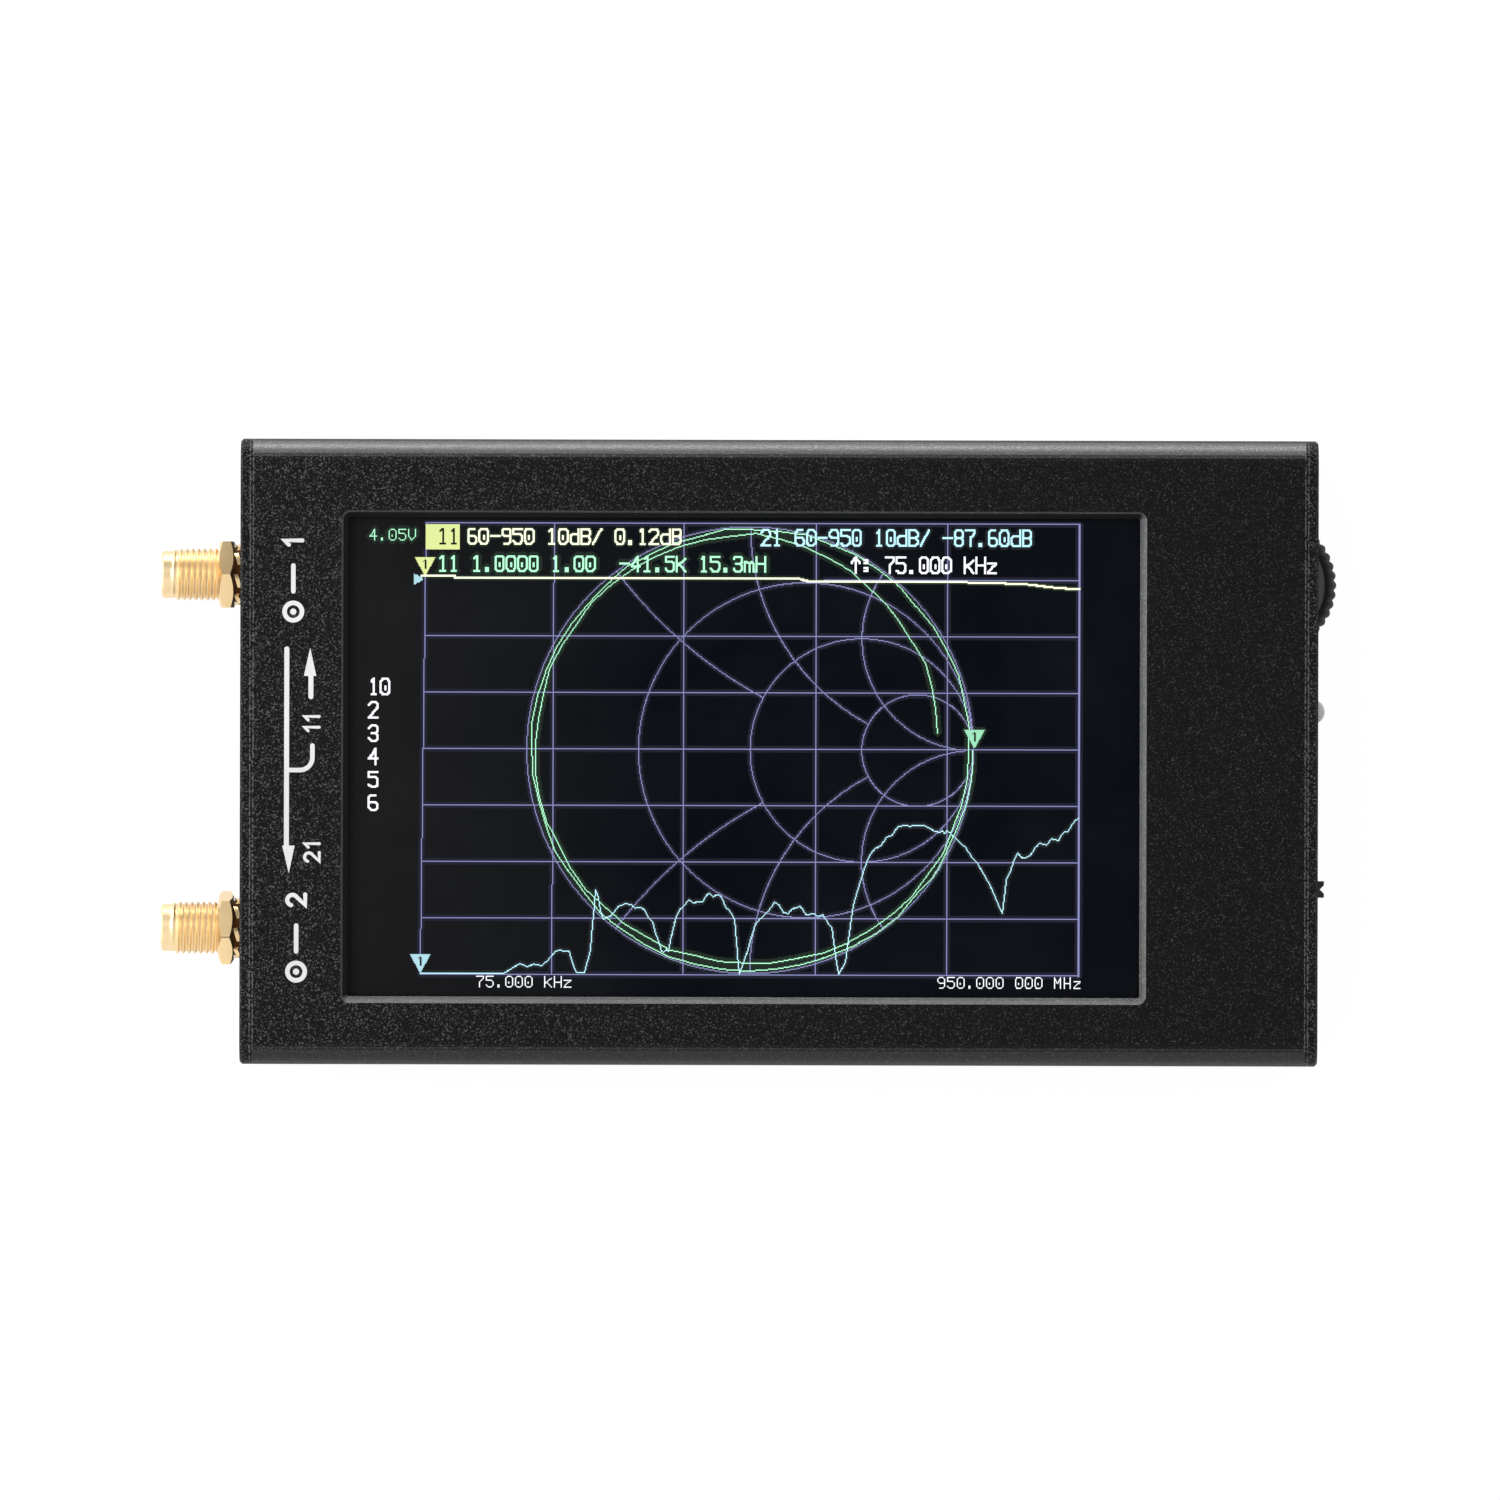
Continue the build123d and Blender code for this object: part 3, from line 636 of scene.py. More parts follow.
def arc_path(centre, radius, start, end, steps=24):
    """Points along an arc between two angles in degrees."""
    path = []
    for step in range(steps + 1):
        angle = math.radians(start + (end - start) * step / steps)
        path.append((centre[0] + radius * math.cos(angle), centre[1] + radius * math.sin(angle)))
    return path


def numeral_paths(numeral):
    """Lines of a plain numeral one unit high, from its lower left corner, and its width."""
    if numeral == "1":
        return [[(0.05, 0.74), (0.28, 0.98), (0.28, 0.02)]], 0.42
    bowl = arc_path((0.3, 0.70), 0.28, 165, -38, 18)
    return [bowl + [(0.04, 0.02), (0.60, 0.02)]], 0.62


class FrontPrint:
    """Collects the printed lines of the front in one mesh."""

    def __init__(self, look):
        self.line = look.line
        self.spacing = 0.28
        self.step = 0.0004 * MM
        self.height = front_height + look.lift
        self.points, self.faces = [], []

    def next_height(self):
        """A hair over the line before, so that crossing lines never share a plane."""
        self.height += self.step
        return self.height

    def stroke(self, path, width=None):
        stroke_faces(path, width or self.line, self.next_height(), self.points, self.faces)

    def shape(self, outline):
        start = len(self.points)
        height = self.next_height()
        self.points += [(x, y, height) for x, y in outline]
        self.faces.append(tuple(range(start, start + len(outline))))

    def numerals(self, text, x, y, size, width):
        """Numerals that read along +Y, standing on the line x with their tops towards -X."""
        for numeral in text:
            paths, advance = numeral_paths(numeral)
            for path in paths:
                self.stroke([(x - v * size, y + u * size) for u, v in path], width)
            y += (advance + self.spacing) * size

    def arrow_head(self, tip, base, width):
        """Filled arrow head along Y."""
        (x, tip_y), (base_x, base_y) = tip, base
        self.shape([(x, tip_y), (base_x - width / 2, base_y), (base_x + width / 2, base_y)])

    def socket_sign(self, x, y, radius):
        """Ring and dot, the usual sign for a round radio socket."""
        sides = 48
        ring = arc_path((x, y), radius, 0, 360, sides)
        start = len(self.points)
        height = self.next_height()
        for reach in (radius + self.line / 2, radius - self.line / 2):
            self.points += [
                (x + (px - x) * reach / radius, y + (py - y) * reach / radius, height)
                for px, py in ring
            ]
        for here in range(start, start + sides):
            self.faces.append((here, here + 1, here + sides + 2, here + sides + 1))
        self.shape(arc_path((x, y), radius * 0.36, 0, 345, 23))


class ANALYZER_OT_print_labels(bpy.types.Operator):
    """Print the socket signs, numerals and signal arrows on the front"""

    bl_idname = "analyzer.print_labels"
    bl_label = "Print the labels"

    def execute(self, context):
        look = context.scene.analyzer_labels
        front = FrontPrint(look)
        label_x, sign = -58.75 * MM, 1.05 * MM
        for row, along, below in ((1, 0.15 * MM, 5.6 * MM), (2, 0.6 * MM, 6.2 * MM)):
            x, low = label_x + along, middle_of(f"port_{row}_nut").y - below
            front.socket_sign(x, low + sign, sign)
            front.stroke([(x, low + 3.5 * MM), (x, low + 6.6 * MM)])
            front.numerals(str(row), x + 1.12 * MM, low + 9.0 * MM, 2.25 * MM, 0.5 * MM)
        main_x, side_x = -59.36 * MM, -56.45 * MM
        shaft, elbow, head = 0.6 * MM, 0.55 * MM, 1.5 * MM
        front.stroke([(main_x, 12.35 * MM), (main_x, -11.9 * MM)], shaft)
        front.arrow_head((main_x + 0.3 * MM, -14.7 * MM), (main_x + 0.25 * MM, -11.35 * MM), head)
        front.arrow_head((side_x - 0.1 * MM, 12.5 * MM), (side_x - 0.1 * MM, 9.1 * MM), head)
        front.stroke([(side_x, 9.4 * MM), (side_x, 6.6 * MM)], shaft)
        bend = arc_path((side_x - 1.3 * MM, -0.75 * MM), 1.5 * MM, 0, -90, 10)
        front.stroke([(side_x + 0.2 * MM, 0.7 * MM)] + bend + [(main_x, -2.25 * MM)], elbow)
        for text, x, y in (("11", -55.4, 2.4), ("21", -55.35, -13.3)):
            front.numerals(text, x * MM, y * MM, 1.85 * MM, 0.36 * MM)
        mesh = bpy.data.meshes.new("front_print")
        mesh.from_pydata(front.points, [], front.faces)
        ink = grained_finish("White ink", look.ink, 0.55, grain=0.2, relief=0.003, mottle=0.05)
        add_piece(mesh, ink, "case")
        return {"FINISHED"}


# Screen


# Strokes of each figure, parted by ; as corners, column and row, on a grid of 5 by 7
FIGURES = {
    "0": "10 30 41 45 36 16 05 01 10;23 24",
    "1": "11 20 26;16 36",
    "2": "01 10 30 41 42 06 46",
    "3": "01 10 30 41 42 33 13;33 44 45 36 16 05",
    "4": "36 30 04 44",
    "5": "40 00 02 32 43 45 36 16 05",
    "6": "30 10 01 05 16 36 45 44 33 03",
    "7": "00 40 41 23 26",
    "8": "10 30 41 42 33 13 02 01 10;13 04 05 16 36 45 44 33",
    "9": "43 13 02 01 10 30 41 45 36 16",
    ".": "16 26 25 15 16",
    "-": "03 43",
    "/": "40 06",
    ":": "12 22 21 11;15 25 24 14",
    "^": "26 20 02;20 42",
    "d": "40 46 16 05 03 12 42",
    "B": "00 30 41 42 33 03;33 44 45 36 06 00",
    "V": "00 04 26 44 40",
    "k": "00 06;41 04;13 46",
    "m": "06 02 12 23 26;23 32 43 46",
    "H": "00 06;40 46;03 43",
    "M": "06 00 23 40 46",
    "z": "02 42 06 46",
}

INKS = (
    "grid", "green", "yellow", "cyan", "white", "green_mark", "yellow_mark", "cyan_mark",
    "grid_glow", "green_glow", "cyan_glow",
)
GRID, GREEN, YELLOW, CYAN, WHITE, GREEN_MARK, YELLOW_MARK, CYAN_MARK = range(1, 9)
GRID_GLOW, GREEN_GLOW, CYAN_GLOW = range(9, 12)


def reflection(resistance, reactance):
    """Place of an impedance on the circle chart of radius one."""
    impedance = complex(resistance, reactance)
    return (impedance - 1) / (impedance + 1)


class DotSheet:
    """Grid of ink numbers, drawn on dot by dot."""

    def __init__(self, columns, rows):
        self.dots = np.zeros((rows, columns), np.uint8)

    def mark(self, x, y, ink, size):
        rows, columns = self.dots.shape
        column, row = round(x - (size - 1) / 2), round(y - (size - 1) / 2)
        if 0 <= column < columns and 0 <= row < rows:
            self.dots[row:row + size, column:column + size] = ink

    def path(self, points, ink, size=1):
        for (x0, y0), (x1, y1) in zip(points, points[1:]):
            steps = max(1, math.ceil(max(abs(x1 - x0), abs(y1 - y0))))
            for step in range(steps + 1):
                share = step / steps
                self.mark(x0 + (x1 - x0) * share, y0 + (y1 - y0) * share, ink, size)

    def block(self, x0, y0, x1, y1, ink):
        self.dots[round(y0):round(y1), round(x0):round(x1)] = ink

    def pointer(self, x, y, width, height, ink):
        """Triangle that points down at x, y."""
        for row in range(height):
            half = width / 2 * (height - row) / height
            self.block(x - half, y - height + row, x + half + 1, y - height + row + 1, ink)

    def write(self, text, x, y, ink, large=True):
        """Figures whose top left corner is at x, y."""
        across, down, advance, size = (2.2, 2.6, 11.67, 2) if large else (1.7, 1.85, 9.97, 1)
        for figure in text:
            for stroke in FIGURES.get(figure, "").split(";"):
                corners = [(int(pair[0]), int(pair[1])) for pair in stroke.split()]
                self.path([(x + u * across, y + v * down) for u, v in corners], ink, size)
            x += advance

    def glow(self, ink, glow, reach):
        """Colour the dark dots round those of an ink."""
        lit = self.dots == ink
        near = lit.copy()
        for _ in range(reach):
            grown = near.copy()
            grown[1:] |= near[:-1]
            grown[:-1] |= near[1:]
            grown[:, 1:] |= near[:, :-1]
            grown[:, :-1] |= near[:, 1:]
            near = grown
        self.dots[near & (self.dots == 0)] = glow

    def rectangles(self, ink):
        """Areas of one ink as left, top, right and bottom, rows with the same run joined."""
        rows = len(self.dots)
        open_runs, done = {}, []
        for row in range(rows + 1):
            runs = set()
            if row < rows:
                edges = np.flatnonzero(np.diff(np.pad(self.dots[row] == ink, 1).astype(np.int8)))
                runs = {(int(a), int(b)) for a, b in zip(edges[::2], edges[1::2])}
            for run in [run for run in open_runs if run not in runs]:
                done.append((run[0], open_runs.pop(run), run[1], row))
            for run in runs:
                open_runs.setdefault(run, row)
        return done


def draw_grid(sheet, left, top, right, bottom):
    """Lines of the grid, the first uprights leaning at their tops.

    The flat trace hides the second line across as far as its step.
    """
    columns, rows, trace_step = 5, 8, 480
    lean = (5, 1.5, 0, 0, 0, 0)
    for step in range(columns + 1):
        x = left + (right - left) * step / columns
        sheet.path([(x + lean[step], top), (x, bottom)], GRID, 2 if step == columns else 1)
    for step in range(rows + 1):
        y = top + (bottom - top) * step / rows
        start = trace_step if step == 1 else left + lean[0] * (1 - step / rows)
        sheet.path([(start, y), (right, y)], GRID)


def draw_circle_chart(sheet, centre, radius):
    """Circles of equal resistance and arcs of equal reactance."""
    def curve(pairs):
        places = [reflection(*pair) * radius for pair in pairs]
        sheet.path([(centre[0] + place.real, centre[1] - place.imag) for place in places], GRID)

    sweep = np.linspace(-0.4999, 0.4999, 241) * math.pi
    for resistance in (0, 1 / 3, 1, 3):
        curve([(resistance, math.tan(angle) * (resistance + 1)) for angle in sweep])
    for reactance, limit in ((0.5, 1), (1, 3), (2, 60)):
        reach = np.linspace(0, math.atan(limit), 90)
        for side in (-1, 1):
            curve([(math.tan(angle), side * reactance) for angle in reach])


def looping_trace(centre, radius, wobble):
    """Nearly two turns round the chart that shrink towards their end."""
    turn = np.linspace(0, 1.985, 104)
    keys = ((0, 0.25, 0.5, 0.75, 1, 1.25, 1.5, 1.75, 1.86, 1.985),
            (0.995, 0.99, 0.978, 0.992, 0.985, 0.957, 0.962, 0.968, 0.90, 0.842))
    reach = radius * (np.interp(turn, *keys) + wobble.uniform(-0.007, 0.007, turn.size))
    angle = turn * tau
    return list(zip(centre[0] + reach * np.cos(angle), centre[1] + reach * np.sin(angle)))


def peaked_trace(wobble):
    """Response with four humps and a deep dip, column by row."""
    keys = [
        (66, 465), (152, 465), (168, 455), (191, 457), (205, 442), (219, 442), (227, 464),
        (235, 464), (241, 440), (246, 379), (254, 409), (277, 393), (292, 397), (305, 412),
        (314, 442), (321, 442), (329, 406), (342, 389), (356, 391), (363, 382), (375, 385),
        (389, 409), (394, 465), (398, 454), (410, 415), (430, 391), (444, 403), (456, 395),
        (465, 404), (480, 404), (489, 417), (496, 465), (503, 453), (511, 394), (527, 344),
        (545, 324), (562, 312), (583, 312), (600, 319), (607, 317), (626, 334), (645, 362),
        (664, 402), (668, 368), (680, 340), (688, 345), (702, 330), (722, 327), (731, 318),
        (742, 304),
    ]
    trace = []
    for (x0, y0), (x1, y1) in zip(keys, keys[1:]):
        for share in (0, 0.33, 0.67):
            drift = 0 if y0 > 460 or share == 0 else wobble.uniform(-3, 3)
            trace.append((x0 + (x1 - x0) * share, min(y0 + (y1 - y0) * share + drift, 465)))
    return trace + [keys[-1]]


def draw_screen(look):
    """The whole picture: grid, circle chart, traces, figures and markers."""
    sheet = DotSheet(look.columns, look.rows)
    wobble = np.random.default_rng(7)
    left, top, right, bottom = 66, 2, 742, 466
    centre, radius = (404.5, 235), 229.5
    draw_grid(sheet, left, top, right, bottom)
    draw_circle_chart(sheet, centre, radius)
    sheet.path(looping_trace(centre, radius, wobble), GREEN)
    sheet.path([(left, 57), (100, 57), (101, 59), (455, 59), (462, 61), (600, 61.5),
                (655, 62.5), (690, 64), (715, 67), (right, 69)], YELLOW, 2)
    sheet.path(peaked_trace(wobble), CYAN)
    sheet.block(71, 4, 106, 30, YELLOW_MARK)
    for text, x, y, ink, large in (
        ("4.05V", 13, 9, GREEN, False),
        (" 11", 72, 8, 0, True),
        ("60-950 10dB/ 0.12dB", 114, 8, YELLOW, True),
        (" 11 1.0000 1.00  -41.5k 15.3mH", 72, 36, GREEN, True),
        (" 21 60-950 10dB/ -87.60dB", 404, 9, CYAN, True),
        ("^: 75.000 kHz", 508, 37, WHITE, True),
        ("75.000 kHz", 124, 468, WHITE, False),
        ("950.000 000 MHz", 598, 468, WHITE, False),
    ):
        sheet.write(text, x, y, ink, large)
    for row, text in enumerate(("10", "2", "3", "4", "5", "6")):
        sheet.write(text, 13, 163 + 23.8 * row, WHITE)
    # Pointers, each with a dark 1 in it, and the small one at the flat trace's start
    for x, y, ink in ((70, 56, YELLOW_MARK), (635, 232, GREEN_MARK), (66, 464, CYAN_MARK)):
        sheet.pointer(x, y, 20, 18, ink)
        sheet.path([(x - 2, y - 14), (x, y - 16), (x, y - 7)], 0)
        sheet.path([(x + 1, y - 15), (x + 1, y - 7)], 0)
    for step in range(9):
        sheet.block(59 + step, 55 + step / 2, 60 + step, 66 - step / 2, CYAN_MARK)
    for ink, glow, reach in (
        (GREEN, GREEN_GLOW, 4), (GREEN_MARK, GREEN_GLOW, 3), (CYAN, CYAN_GLOW, 3),
        (YELLOW, GREEN_GLOW, 2), (GRID, GRID_GLOW, 3),
    ):
        sheet.glow(ink, glow, reach)
    return sheet


def lit_dots(name, shade, strength):
    """Lit dots: the backlight varies a little over the display."""
    material, shader = shader_material(
        name, Base_Color=(0.0, 0.0, 0.0), Roughness=0.3, Emission_Strength=strength
    )
    marks = place_group(shader, marks_group, Size=22 * MM)["Mask"]
    dim = tuple(part * 0.93 for part in shade)
    feed(shader, "Emission Color", mix_colours(marks, dim, shade))
    return material


def cover_glass():
    """Black-backed cover glass with a faint wipe pattern, paler towards the port end."""
    clear, paler_glass = (0.0008, 0.0023, 0.0054), (0.011, 0.011, 0.0113)
    material, shader = shader_material("Cover glass", IOR=1.5, Specular_IOR_Level=0.2)
    # The glass's colour is paler towards the port end
    haze = ramp(axes(object_place(shader.id_data))["X"], -15 * MM, -52 * MM)
    feed(shader, "Base Color", mix_colours(haze, clear, paler_glass))
    marks = place_group(shader, marks_group, Size=18 * MM)["Mask"]
    feed(shader, "Roughness", ramp(marks, 0.0, 1.0, 0.2, 0.27))
    grain = place_group(shader, grain_group, Size=0.9 * MM)
    bump(shader, grain["Height"], 0.0006 * MM)
    return material


class ANALYZER_OT_light_display(bpy.types.Operator):
    """Give the display its glass and its measuring picture"""

    bl_idname = "analyzer.light_display"
    bl_label = "Light the display"

    def execute(self, context):
        look = context.scene.analyzer_screen
        dress(cover_glass(), "display_glass")
        centre = middle_of("lcd_frame")
        left = centre.x - look.columns * look.dot / 2
        top = centre.y + look.rows * look.dot / 2
        height = glass_height + look.lift
        sheet = draw_screen(look)
        shades = {name: tuple(getattr(look, name)) for name in INKS[:CYAN_MARK]}
        shades["grid_glow"] = (0.001, 0.001, 0.018)
        shades["green_glow"] = (0.0005, 0.013, 0.005)
        shades["cyan_glow"] = (0.0005, 0.004, 0.008)
        for number, name in enumerate(INKS, 1):
            points, faces = [], []
            for x0, y0, x1, y1 in sheet.rectangles(number):
                start = len(points)
                for x, y in ((x0, y1), (x1, y1), (x1, y0), (x0, y0)):
                    points.append((left + x * look.dot, top - y * look.dot, height))
                faces.append((start, start + 1, start + 2, start + 3))
            mesh = bpy.data.meshes.new(f"screen_{name}")
            mesh.from_pydata(points, [], faces)
            strength = look.line_strength if number <= WHITE else 1.0
            dots = lit_dots(f"Lit {name.replace('_', ' ')}", shades[name], strength)
            add_piece(mesh, dots, "case")
        return {"FINISHED"}


# Radio jacks


JACK_SIDES = 72


def thread_grid(look, start, end, centre):
    """Skin of a screw thread: each row of points runs one turn round and one pitch along."""
    profile = ((0.0, 0.0), (0.08, 0.0), (0.42, 1.0), (0.56, 1.0), (0.9, 0.0))
    span = abs(end - start)
    direction = math.copysign(1.0, end - start)
    angles = np.linspace(0, tau, JACK_SIDES + 1)
    rows = []
    for turn in range(-1, math.ceil(span / look.pitch) + 1):
        for along, rise in profile:
            travel = (turn + along + angles / tau) * look.pitch
            fade = np.clip(np.minimum(travel, span - travel) / (0.75 * look.pitch), 0, 1)
            radius = look.root + (look.crest - look.root) * rise * fade
            x = start + direction * np.clip(travel, 0, span)
            rows.append(ring_about_x(x, radius, angles, centre))
    return np.array(rows)


def inner_part(node, plane_x):
    """Copy of a packed solid, kept only inwards of a plane across X."""
    work = bmesh.new()
    work.from_mesh(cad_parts[node].data)
    geometry = [*work.verts, *work.edges, *work.faces]
    bmesh.ops.bisect_plane(work, geom=geometry, plane_co=(plane_x, 0, 0), plane_no=(-1, 0, 0),
                           clear_outer=True)
    mesh = bpy.data.meshes.new(f"{node}_inner")
    work.to_mesh(mesh)
    work.free()
    return mesh


def jack_mesh(row, look):
    """Threaded barrel with a plain end and the plug's socket, on its flange."""
    node = f"port_{row}_jack"
    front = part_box(node)[0].x
    centre = middle_of(f"port_{row}_nut")
    plane_x = case_low.x
    thread_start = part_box(f"port_{row}_nut")[0].x + 0.6 * MM
    thread_end = front + look.lead
    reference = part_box(f"port_{row}_insulator")[0].x
    end_radius, mouth, bore = look.root - 0.01 * MM, 2.3 * MM, 2.05 * MM
    neck = [
        (plane_x, look.root + 0.1 * MM), (thread_start, look.root), (thread_start, look.root),
    ]
    nose = [
        (thread_end, look.root), (thread_end - 0.3 * MM, end_radius),
        (front + 0.22 * MM, end_radius), (front, end_radius - 0.2 * MM),
        (front, mouth + 0.06 * MM), (front + 0.06 * MM, mouth), (reference, mouth),
        (reference, bore), (plane_x, bore),
    ]
    grids = [lathe(part, turns(JACK_SIDES), centre) for part in (neck, nose)]
    grids.append((thread_grid(look, thread_start, thread_end, centre), False))
    return mesh_from_grids(f"port_{row}_barrel", grids, inner_part(node, plane_x))


def nut_mesh(row, look):
    """Hexagon nut whose corners are turned off by a cone at both ends."""
    low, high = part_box(f"port_{row}_nut")
    turn = look.nut_turn if row == 1 else look.second_nut_turn
    angles = turns(144)
    outline = hexagon_radius(angles, look.nut_flats, turn)
    seat = look.nut_flats / 2 * 0.965
    drop = np.maximum(outline - seat, 0) * math.tan(math.radians(30))
    bore, sink = look.crest + 0.03 * MM, 0.2 * MM
    parts = [
        (high.x, bore + sink), (high.x, seat), (high.x - drop, outline),
        (low.x + drop, outline), (low.x, seat), (low.x, bore + sink),
        (low.x + sink, bore), (high.x - sink, bore), (high.x, bore + sink),
    ]
    grid = lathe(parts, angles, middle_of(f"port_{row}_nut"))
    return mesh_from_grids(f"port_{row}_hex_nut", [grid], sharp_angle=math.radians(20))


def washer_mesh(row, look):
    """Lock washer with twisted teeth round its edge, and a dark ring of painted shade under them.
    """
    low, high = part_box(f"port_{row}_washer")
    centre = middle_of(f"port_{row}_washer")
    tooth_share, twist_reach, half = 0.6, 0.46 * MM, 0.25 * MM
    angles = turns(24 * look.teeth)
    phase = (angles * look.teeth / tau) % 1.0
    tooth = phase < tooth_share
    outer = np.where(tooth, high.z - centre.z, look.crest + 0.1 * MM)
    twist = np.where(tooth, (phase / tooth_share - 0.5) * twist_reach, 0.0)
    neck = outer.min() - 0.04 * MM
    bore = look.crest + 0.03 * MM
    parts = [
        (centre.x - half, bore), (centre.x - half, neck), (centre.x - half + twist, outer),
        (centre.x + half + twist, outer), (centre.x + half, neck), (centre.x + half, bore),
        (centre.x - half, bore),
    ]
    # The dark ring inside the teeth is painted shade for the gaps between them
    left, right, rim = low.x + 0.02 * MM, high.x - 0.02 * MM, look.crest + 0.16 * MM
    painted_shade_ring = [(left, bore), (left, rim), (right, rim), (right, bore), (left, bore)]
    return (mesh_from_grids(f"port_{row}_lock_washer", [lathe(parts, angles, centre)]),
            mesh_from_grids(f"port_{row}_washer_root", [lathe(painted_shade_ring, angles, centre)]))


class ANALYZER_OT_thread_jacks(bpy.types.Operator):
    """Cut the jacks' threads and fit their nuts and washers"""

    bl_idname = "analyzer.thread_jacks"
    bl_label = "Thread the jacks"

    def execute(self, context):
        look = context.scene.analyzer_jacks
        gold = tuple(look.gold)
        pale = tuple(part ** 0.85 for part in gold)
        plated = grained_finish("Gold plating", pale, 0.41, grain=0.09, relief=0.0004,
                                mottle=0.05, turned=True, Metallic=1.0)
        flat = grained_finish("Gold plated nut", gold, 0.24, grain=0.4, relief=0.0008,
                              mottle=0.05, Metallic=1.0)
        # Painted shade: a dark ring stands between the teeth, where shade falls in the gaps
        painted_shade_brown = grained_finish("Washer root", (0.09, 0.035, 0.012), 0.45, relief=0.002,
                               Metallic=1.0)
        for row in (1, 2):
            teeth, root = washer_mesh(row, look)
            add_piece(root, painted_shade_brown, "case")
            for mesh, material, node in (
                (jack_mesh(row, look), plated, f"port_{row}_jack"),
                (nut_mesh(row, look), flat, f"port_{row}_nut"),
                (teeth, flat, f"port_{row}_washer"),
            ):
                add_piece(mesh, material, "case", [node])
        dress(plated, "port_1_contact", "port_2_contact")
        dress(grained_finish("White insulator", (0.78, 0.78, 0.76), 0.5, Subsurface_Weight=0.2,
                             Subsurface_Scale=0.001),
              "port_1_insulator", "port_2_insulator")
        return {"FINISHED"}


# Thumbwheel


def wheel_mesh(look):
    """Wheel with rounded ribs and softened edges, on its hub."""
    low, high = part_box("jog_wheel")
    centre = middle_of("jog_wheel")
    radius = min(high.x - centre.x, high.y - centre.y) - 0.01 * MM
    angles = turns(look.ribs * 12)
    valley = look.rib_depth * (1 - np.abs(np.cos(angles * look.ribs / 2)))
    flat = radius - look.rib_depth - look.bevel
    soft = look.bevel * 0.3
    hub, clip_pocket, spring_sleeve, spring_pocket = 1.55 * MM, 2.4 * MM, 2.05 * MM, 3.2 * MM
    clip_seat, spring_seat, groove = high.z - 0.7 * MM, low.z + 1.5 * MM, high.z - 0.12 * MM
    profile = [
        (hub, clip_seat, 0), (clip_pocket, clip_seat, 0), (clip_pocket, high.z, 0),
        (flat - 1.1 * MM, high.z, 0), (flat - 0.95 * MM, groove, 0),
        (flat - 0.7 * MM, groove, 0), (flat - 0.55 * MM, high.z, 0),
        (radius - look.bevel, high.z, 0.6), (radius - soft, high.z - soft, 0.9),
        (radius, high.z - look.bevel, 1), (radius, low.z + look.bevel, 1),
        (radius - soft, low.z + soft, 0.9), (radius - look.bevel, low.z, 0.6), (flat, low.z, 0),
        (spring_pocket, low.z, 0), (spring_pocket, spring_seat, 0),
        (spring_sleeve, spring_seat, 0), (spring_sleeve, low.z, 0), (hub, low.z, 0),
        (hub, clip_seat, 0),
    ]
    rings = []
    for reach, z, share in profile:
        ring = reach - share * valley
        rings.append(np.stack((centre.x + ring * np.cos(angles), centre.y + ring * np.sin(angles),
                               np.full(angles.shape, z)), axis=-1))
    return mesh_from_grids("ribbed_wheel", [(np.array(rings), True)],
                           sharp_angle=math.radians(50))


class ANALYZER_OT_fit_controls(bpy.types.Operator):
    """Fit the thumbwheel, light, slide knob and charging socket"""

    bl_idname = "analyzer.fit_controls"
    bl_label = "Fit the controls"

    def execute(self, context):
        look = context.scene.analyzer_wheel
        plastic = grained_finish("Wheel plastic", tuple(look.plastic), 0.34, grain=0.15,
                                 relief=0.004)
        add_piece(wheel_mesh(look), plastic, "jog_wheel", ["jog_wheel"])
        dress(grained_finish("Frosted lens", (0.83, 0.83, 0.82), 0.32, grain=0.2, relief=0.003,
                             mottle=0.04, Transmission_Weight=0.35, IOR=1.49), "status_led")
        dress(grained_finish("Moulded black plastic", (0.014, 0.014, 0.014), 0.45, grain=0.12,
                             relief=0.006),
              "switch_knob", "jog_base", "jog_carrier", "jog_switch")
        dress(contact_tongue(), "usb_tongue")
        return {"FINISHED"}


def contact_tongue():
    """Black tongue of the charging socket with a row of gold contacts."""
    plastic, gold = (0.015, 0.015, 0.015), (0.85, 0.6, 0.25)
    contact_step, row_half = 0.5 * MM, 2.8 * MM
    material, shader = shader_material("Contact tongue")
    centre = middle_of("usb_tongue")
    place = axes(object_place(shader.id_data))
    step = math_node("DIVIDE", place["Y"], contact_step)
    stripe = math_node("LESS_THAN", math_node("FRACT", step), 0.5)
    ahead = math_node("GREATER_THAN", place["X"], centre.x)
    reach = math_node("ABSOLUTE", math_node("SUBTRACT", place["Y"], centre.y))
    inside = math_node("LESS_THAN", reach, row_half)
    mask = math_node("MULTIPLY", stripe, math_node("MULTIPLY", ahead, inside))
    feed(shader, "Base Color", mix_colours(mask, plastic, gold))
    feed(shader, "Metallic", mask)
    feed(shader, "Roughness", ramp(mask, 0, 1, 0.5, 0.25))
    return material


# Inside


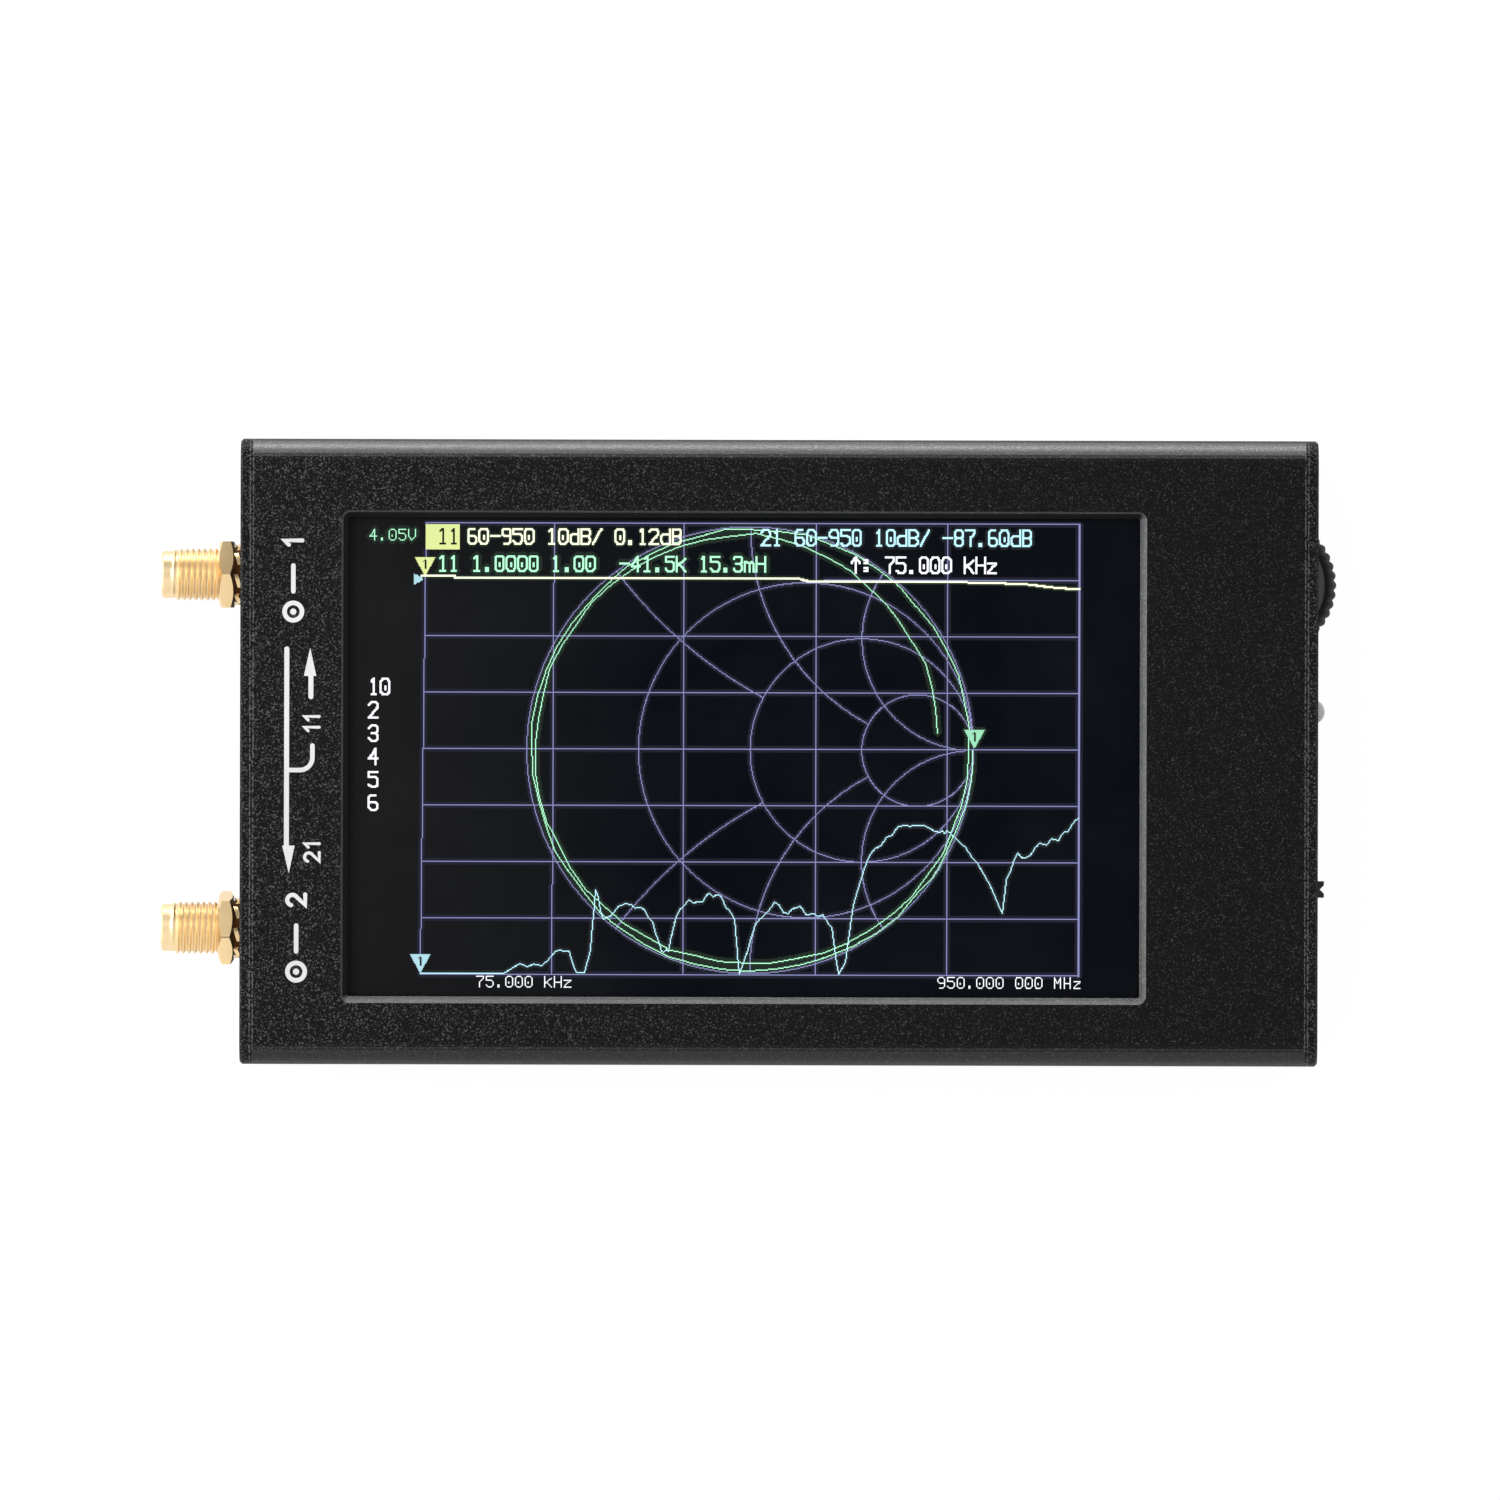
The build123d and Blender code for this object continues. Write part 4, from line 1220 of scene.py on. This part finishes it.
# Name, colour, roughness, other values of the finish, and the solids that it covers
INSIDE_FINISHES = (
    ("Black foam", (0.02, 0.02, 0.021), 0.9, {"grain": 0.5, "relief": 0.08},
     "display_gasket battery_pad"),
    ("Tinned sheet", (0.6, 0.6, 0.58), 0.32,
     {"grain": 0.15, "relief": 0.002, "turned": True, "Metallic": 1.0},
     "lcd_frame shield_cans crystal usb_shell led_leads jog_clip jog_spring switch_body"),
    ("Panel glass", (0.01, 0.011, 0.014), 0.12, {"relief": 0.0005}, "lcd_panel"),
    ("Light guide", (0.8, 0.82, 0.84), 0.3, {"grain": 0.6}, "light_guide"),
    ("Flat cable film", (0.42, 0.17, 0.03), 0.35, {"grain": 0.5, "Coat_Weight": 0.4},
     "display_ribbon"),
    ("Ivory plastic", (0.72, 0.69, 0.6), 0.45, {},
     "display_connector battery_plug battery_socket"),
    ("Solder mask", (0.006, 0.06, 0.028), 0.3,
     {"grain": 0.7, "relief": 0.01, "mottle": 0.3, "Coat_Weight": 0.3}, "main_board"),
    ("Chip resin", (0.02, 0.02, 0.021), 0.55, {"grain": 0.1, "relief": 0.005}, "processor"),
    ("Foil pouch", (0.5, 0.51, 0.53), 0.36, {"grain": 3.0, "relief": 0.05, "Metallic": 0.9},
     "battery_cell"),
    ("Red lead cover", (0.4, 0.02, 0.015), 0.45, {}, "battery_leads"),
)


class ANALYZER_OT_finish_inside(bpy.types.Operator):
    """Give the parts inside the case their finishes"""

    bl_idname = "analyzer.finish_inside"
    bl_label = "Finish the inside"

    def execute(self, context):
        for name, base, roughness, details, nodes in INSIDE_FINISHES:
            dress(grained_finish(name, base, roughness, **details), *nodes.split())
        return {"FINISHED"}


# Stage


def add_lamp(name, place, size, watts):
    """Soft white rectangular lamp that faces the analyzer."""
    lamp = bpy.data.lights.new(name, "AREA")
    lamp.shape = "RECTANGLE"
    lamp.size, lamp.size_y = size
    lamp.energy = watts
    holder = bpy.data.objects.new(name, lamp)
    holder.location = place
    holder.rotation_euler = (-Vector(place)).to_track_quat("-Z", "Y").to_euler()
    holder.visible_camera = False
    bpy.context.scene.collection.objects.link(holder)


def sky(look):
    """White all round, darker in mirrors overhead and to the rear, and even ambient light."""
    world = bpy.data.worlds.new("Studio")
    bpy.context.scene.world = world
    world.use_nodes = True
    tree = world.node_tree
    tree.nodes.clear()
    way = axes(add_node(tree, "TexCoord").outputs["Generated"])
    seen = math_node("MULTIPLY", ramp(way["Z"], 0.95, 0.99, 1.0, 0.09),
                     ramp(way["Y"], 0.3, 0.75, 1.0, 0.42))
    path = add_node(tree, "LightPath").outputs
    camera = math_node("MAXIMUM", path["Is Camera Ray"], path["Is Transmission Ray"])
    mirrored = math_node("MULTIPLY", path["Is Glossy Ray"], seen)
    spread = math_node("MULTIPLY", path["Is Diffuse Ray"], look.ambient)
    total = math_node("ADD", camera, math_node("ADD", mirrored, spread))
    light = add_node(tree, "Background", {"Color": (1.0, 1.0, 1.0), "Strength": total})
    add_node(tree, "OutputWorld", {0: light.outputs[0]})


def floor_material():
    """White table: mostly its own white, with a little that takes shadow."""
    material, shader = shader_material(
        "White table", Base_Color=(0.16, 0.16, 0.16), Roughness=0.9, Specular_IOR_Level=0.0,
        Emission_Color=(1.0, 1.0, 1.0)
    )
    path = add_node(shader.id_data, "LightPath").outputs
    mirrored = math_node("MAXIMUM", path["Is Glossy Ray"], path["Is Transmission Ray"])
    seen = math_node("MAXIMUM", path["Is Camera Ray"], mirrored)
    feed(shader, "Emission Strength", ramp(seen, 0, 1, 0.3, 0.93))
    return material


class ANALYZER_OT_set_stage(bpy.types.Operator):
    """Set up the table, lamps and camera"""

    bl_idname = "analyzer.set_stage"
    bl_label = "Set the stage"

    def execute(self, context):
        look = context.scene.analyzer_stage
        mesh = bpy.data.meshes.new("table")
        reach = 6.0
        mesh.from_pydata([(-reach, -reach, 0), (reach, -reach, 0), (reach, reach, 0),
                          (-reach, reach, 0)], [], [(0, 1, 2, 3)])
        mesh.materials.append(floor_material())
        table = bpy.data.objects.new("table", mesh)
        table.location.z = solid_bounds[0][2] - 0.02 * MM
        context.scene.collection.objects.link(table)
        for name, place, size, watts in (
            ("key_lamp", (-0.3, 0.06, 0.26), (0.2, 0.2), 0.6),
            ("rear_lamp", (-0.1, 0.8, 0.075), (1.4, 0.13), 2.8),
            ("left_lamp", (-0.8, 0.05, 0.065), (1.0, 0.11), 1.35),
            ("edge_lamp", (-0.1, 0.3, 0.012), (1.2, 0.02), 0.8),
        ):
            add_lamp(name, place, size, watts)
        sky(look)
        camera = bpy.data.cameras.new("camera")
        camera.lens = look.lens
        camera.sensor_width = 36.0
        camera.clip_end = 20.0
        holder = bpy.data.objects.new("camera", camera)
        holder.location = (look.camera_x, look.camera_y, look.camera_height)
        holder.rotation_euler = (0.0, 0.0, look.roll)
        context.scene.collection.objects.link(holder)
        context.scene.camera = holder
        context.scene.view_settings.view_transform = "Standard"
        return {"FINISHED"}


OPERATORS = (
    ANALYZER_OT_set_stage,
    ANALYZER_OT_coat_housing,
    ANALYZER_OT_print_labels,
    ANALYZER_OT_light_display,
    ANALYZER_OT_thread_jacks,
    ANALYZER_OT_fit_controls,
    ANALYZER_OT_finish_inside,
)


class ANALYZER_PT_panel(bpy.types.Panel):
    """Steps and settings of the analyzer"""

    bl_idname = "ANALYZER_PT_panel"
    bl_label = "Antenna Analyzer"
    bl_space_type = "VIEW_3D"
    bl_region_type = "UI"
    bl_category = "Analyzer"

    def draw(self, context):
        for operator in OPERATORS:
            self.layout.operator(operator.bl_idname)
        for setting, group in SETTINGS.items():
            box = self.layout.box()
            box.label(text=group.__doc__)
            for name in group.__annotations__:
                box.prop(getattr(context.scene, setting), name)


def register():
    for group in SETTINGS.values():
        bpy.utils.register_class(group)
    for operator in OPERATORS:
        bpy.utils.register_class(operator)
    bpy.utils.register_class(ANALYZER_PT_panel)
    for setting, group in SETTINGS.items():
        setattr(bpy.types.Scene, setting, PointerProperty(type=group))


def unregister():
    for setting in SETTINGS:
        delattr(bpy.types.Scene, setting)
    bpy.utils.unregister_class(ANALYZER_PT_panel)
    for operator in reversed(OPERATORS):
        bpy.utils.unregister_class(operator)
    for group in reversed(SETTINGS.values()):
        bpy.utils.unregister_class(group)


def main():
    register()
    for operator in OPERATORS:
        name = operator.bl_idname.split(".")[1]
        if getattr(bpy.ops.analyzer, name)() != {"FINISHED"}:
            raise RuntimeError(f"{operator.bl_label} did not finish")
    for tree in bpy.data.node_groups:
        lay_out(tree)
    for shaded in (*bpy.data.materials, *bpy.data.worlds):
        if shaded.use_nodes:
            lay_out(shaded.node_tree)


if __name__ == "__main__":
    main()
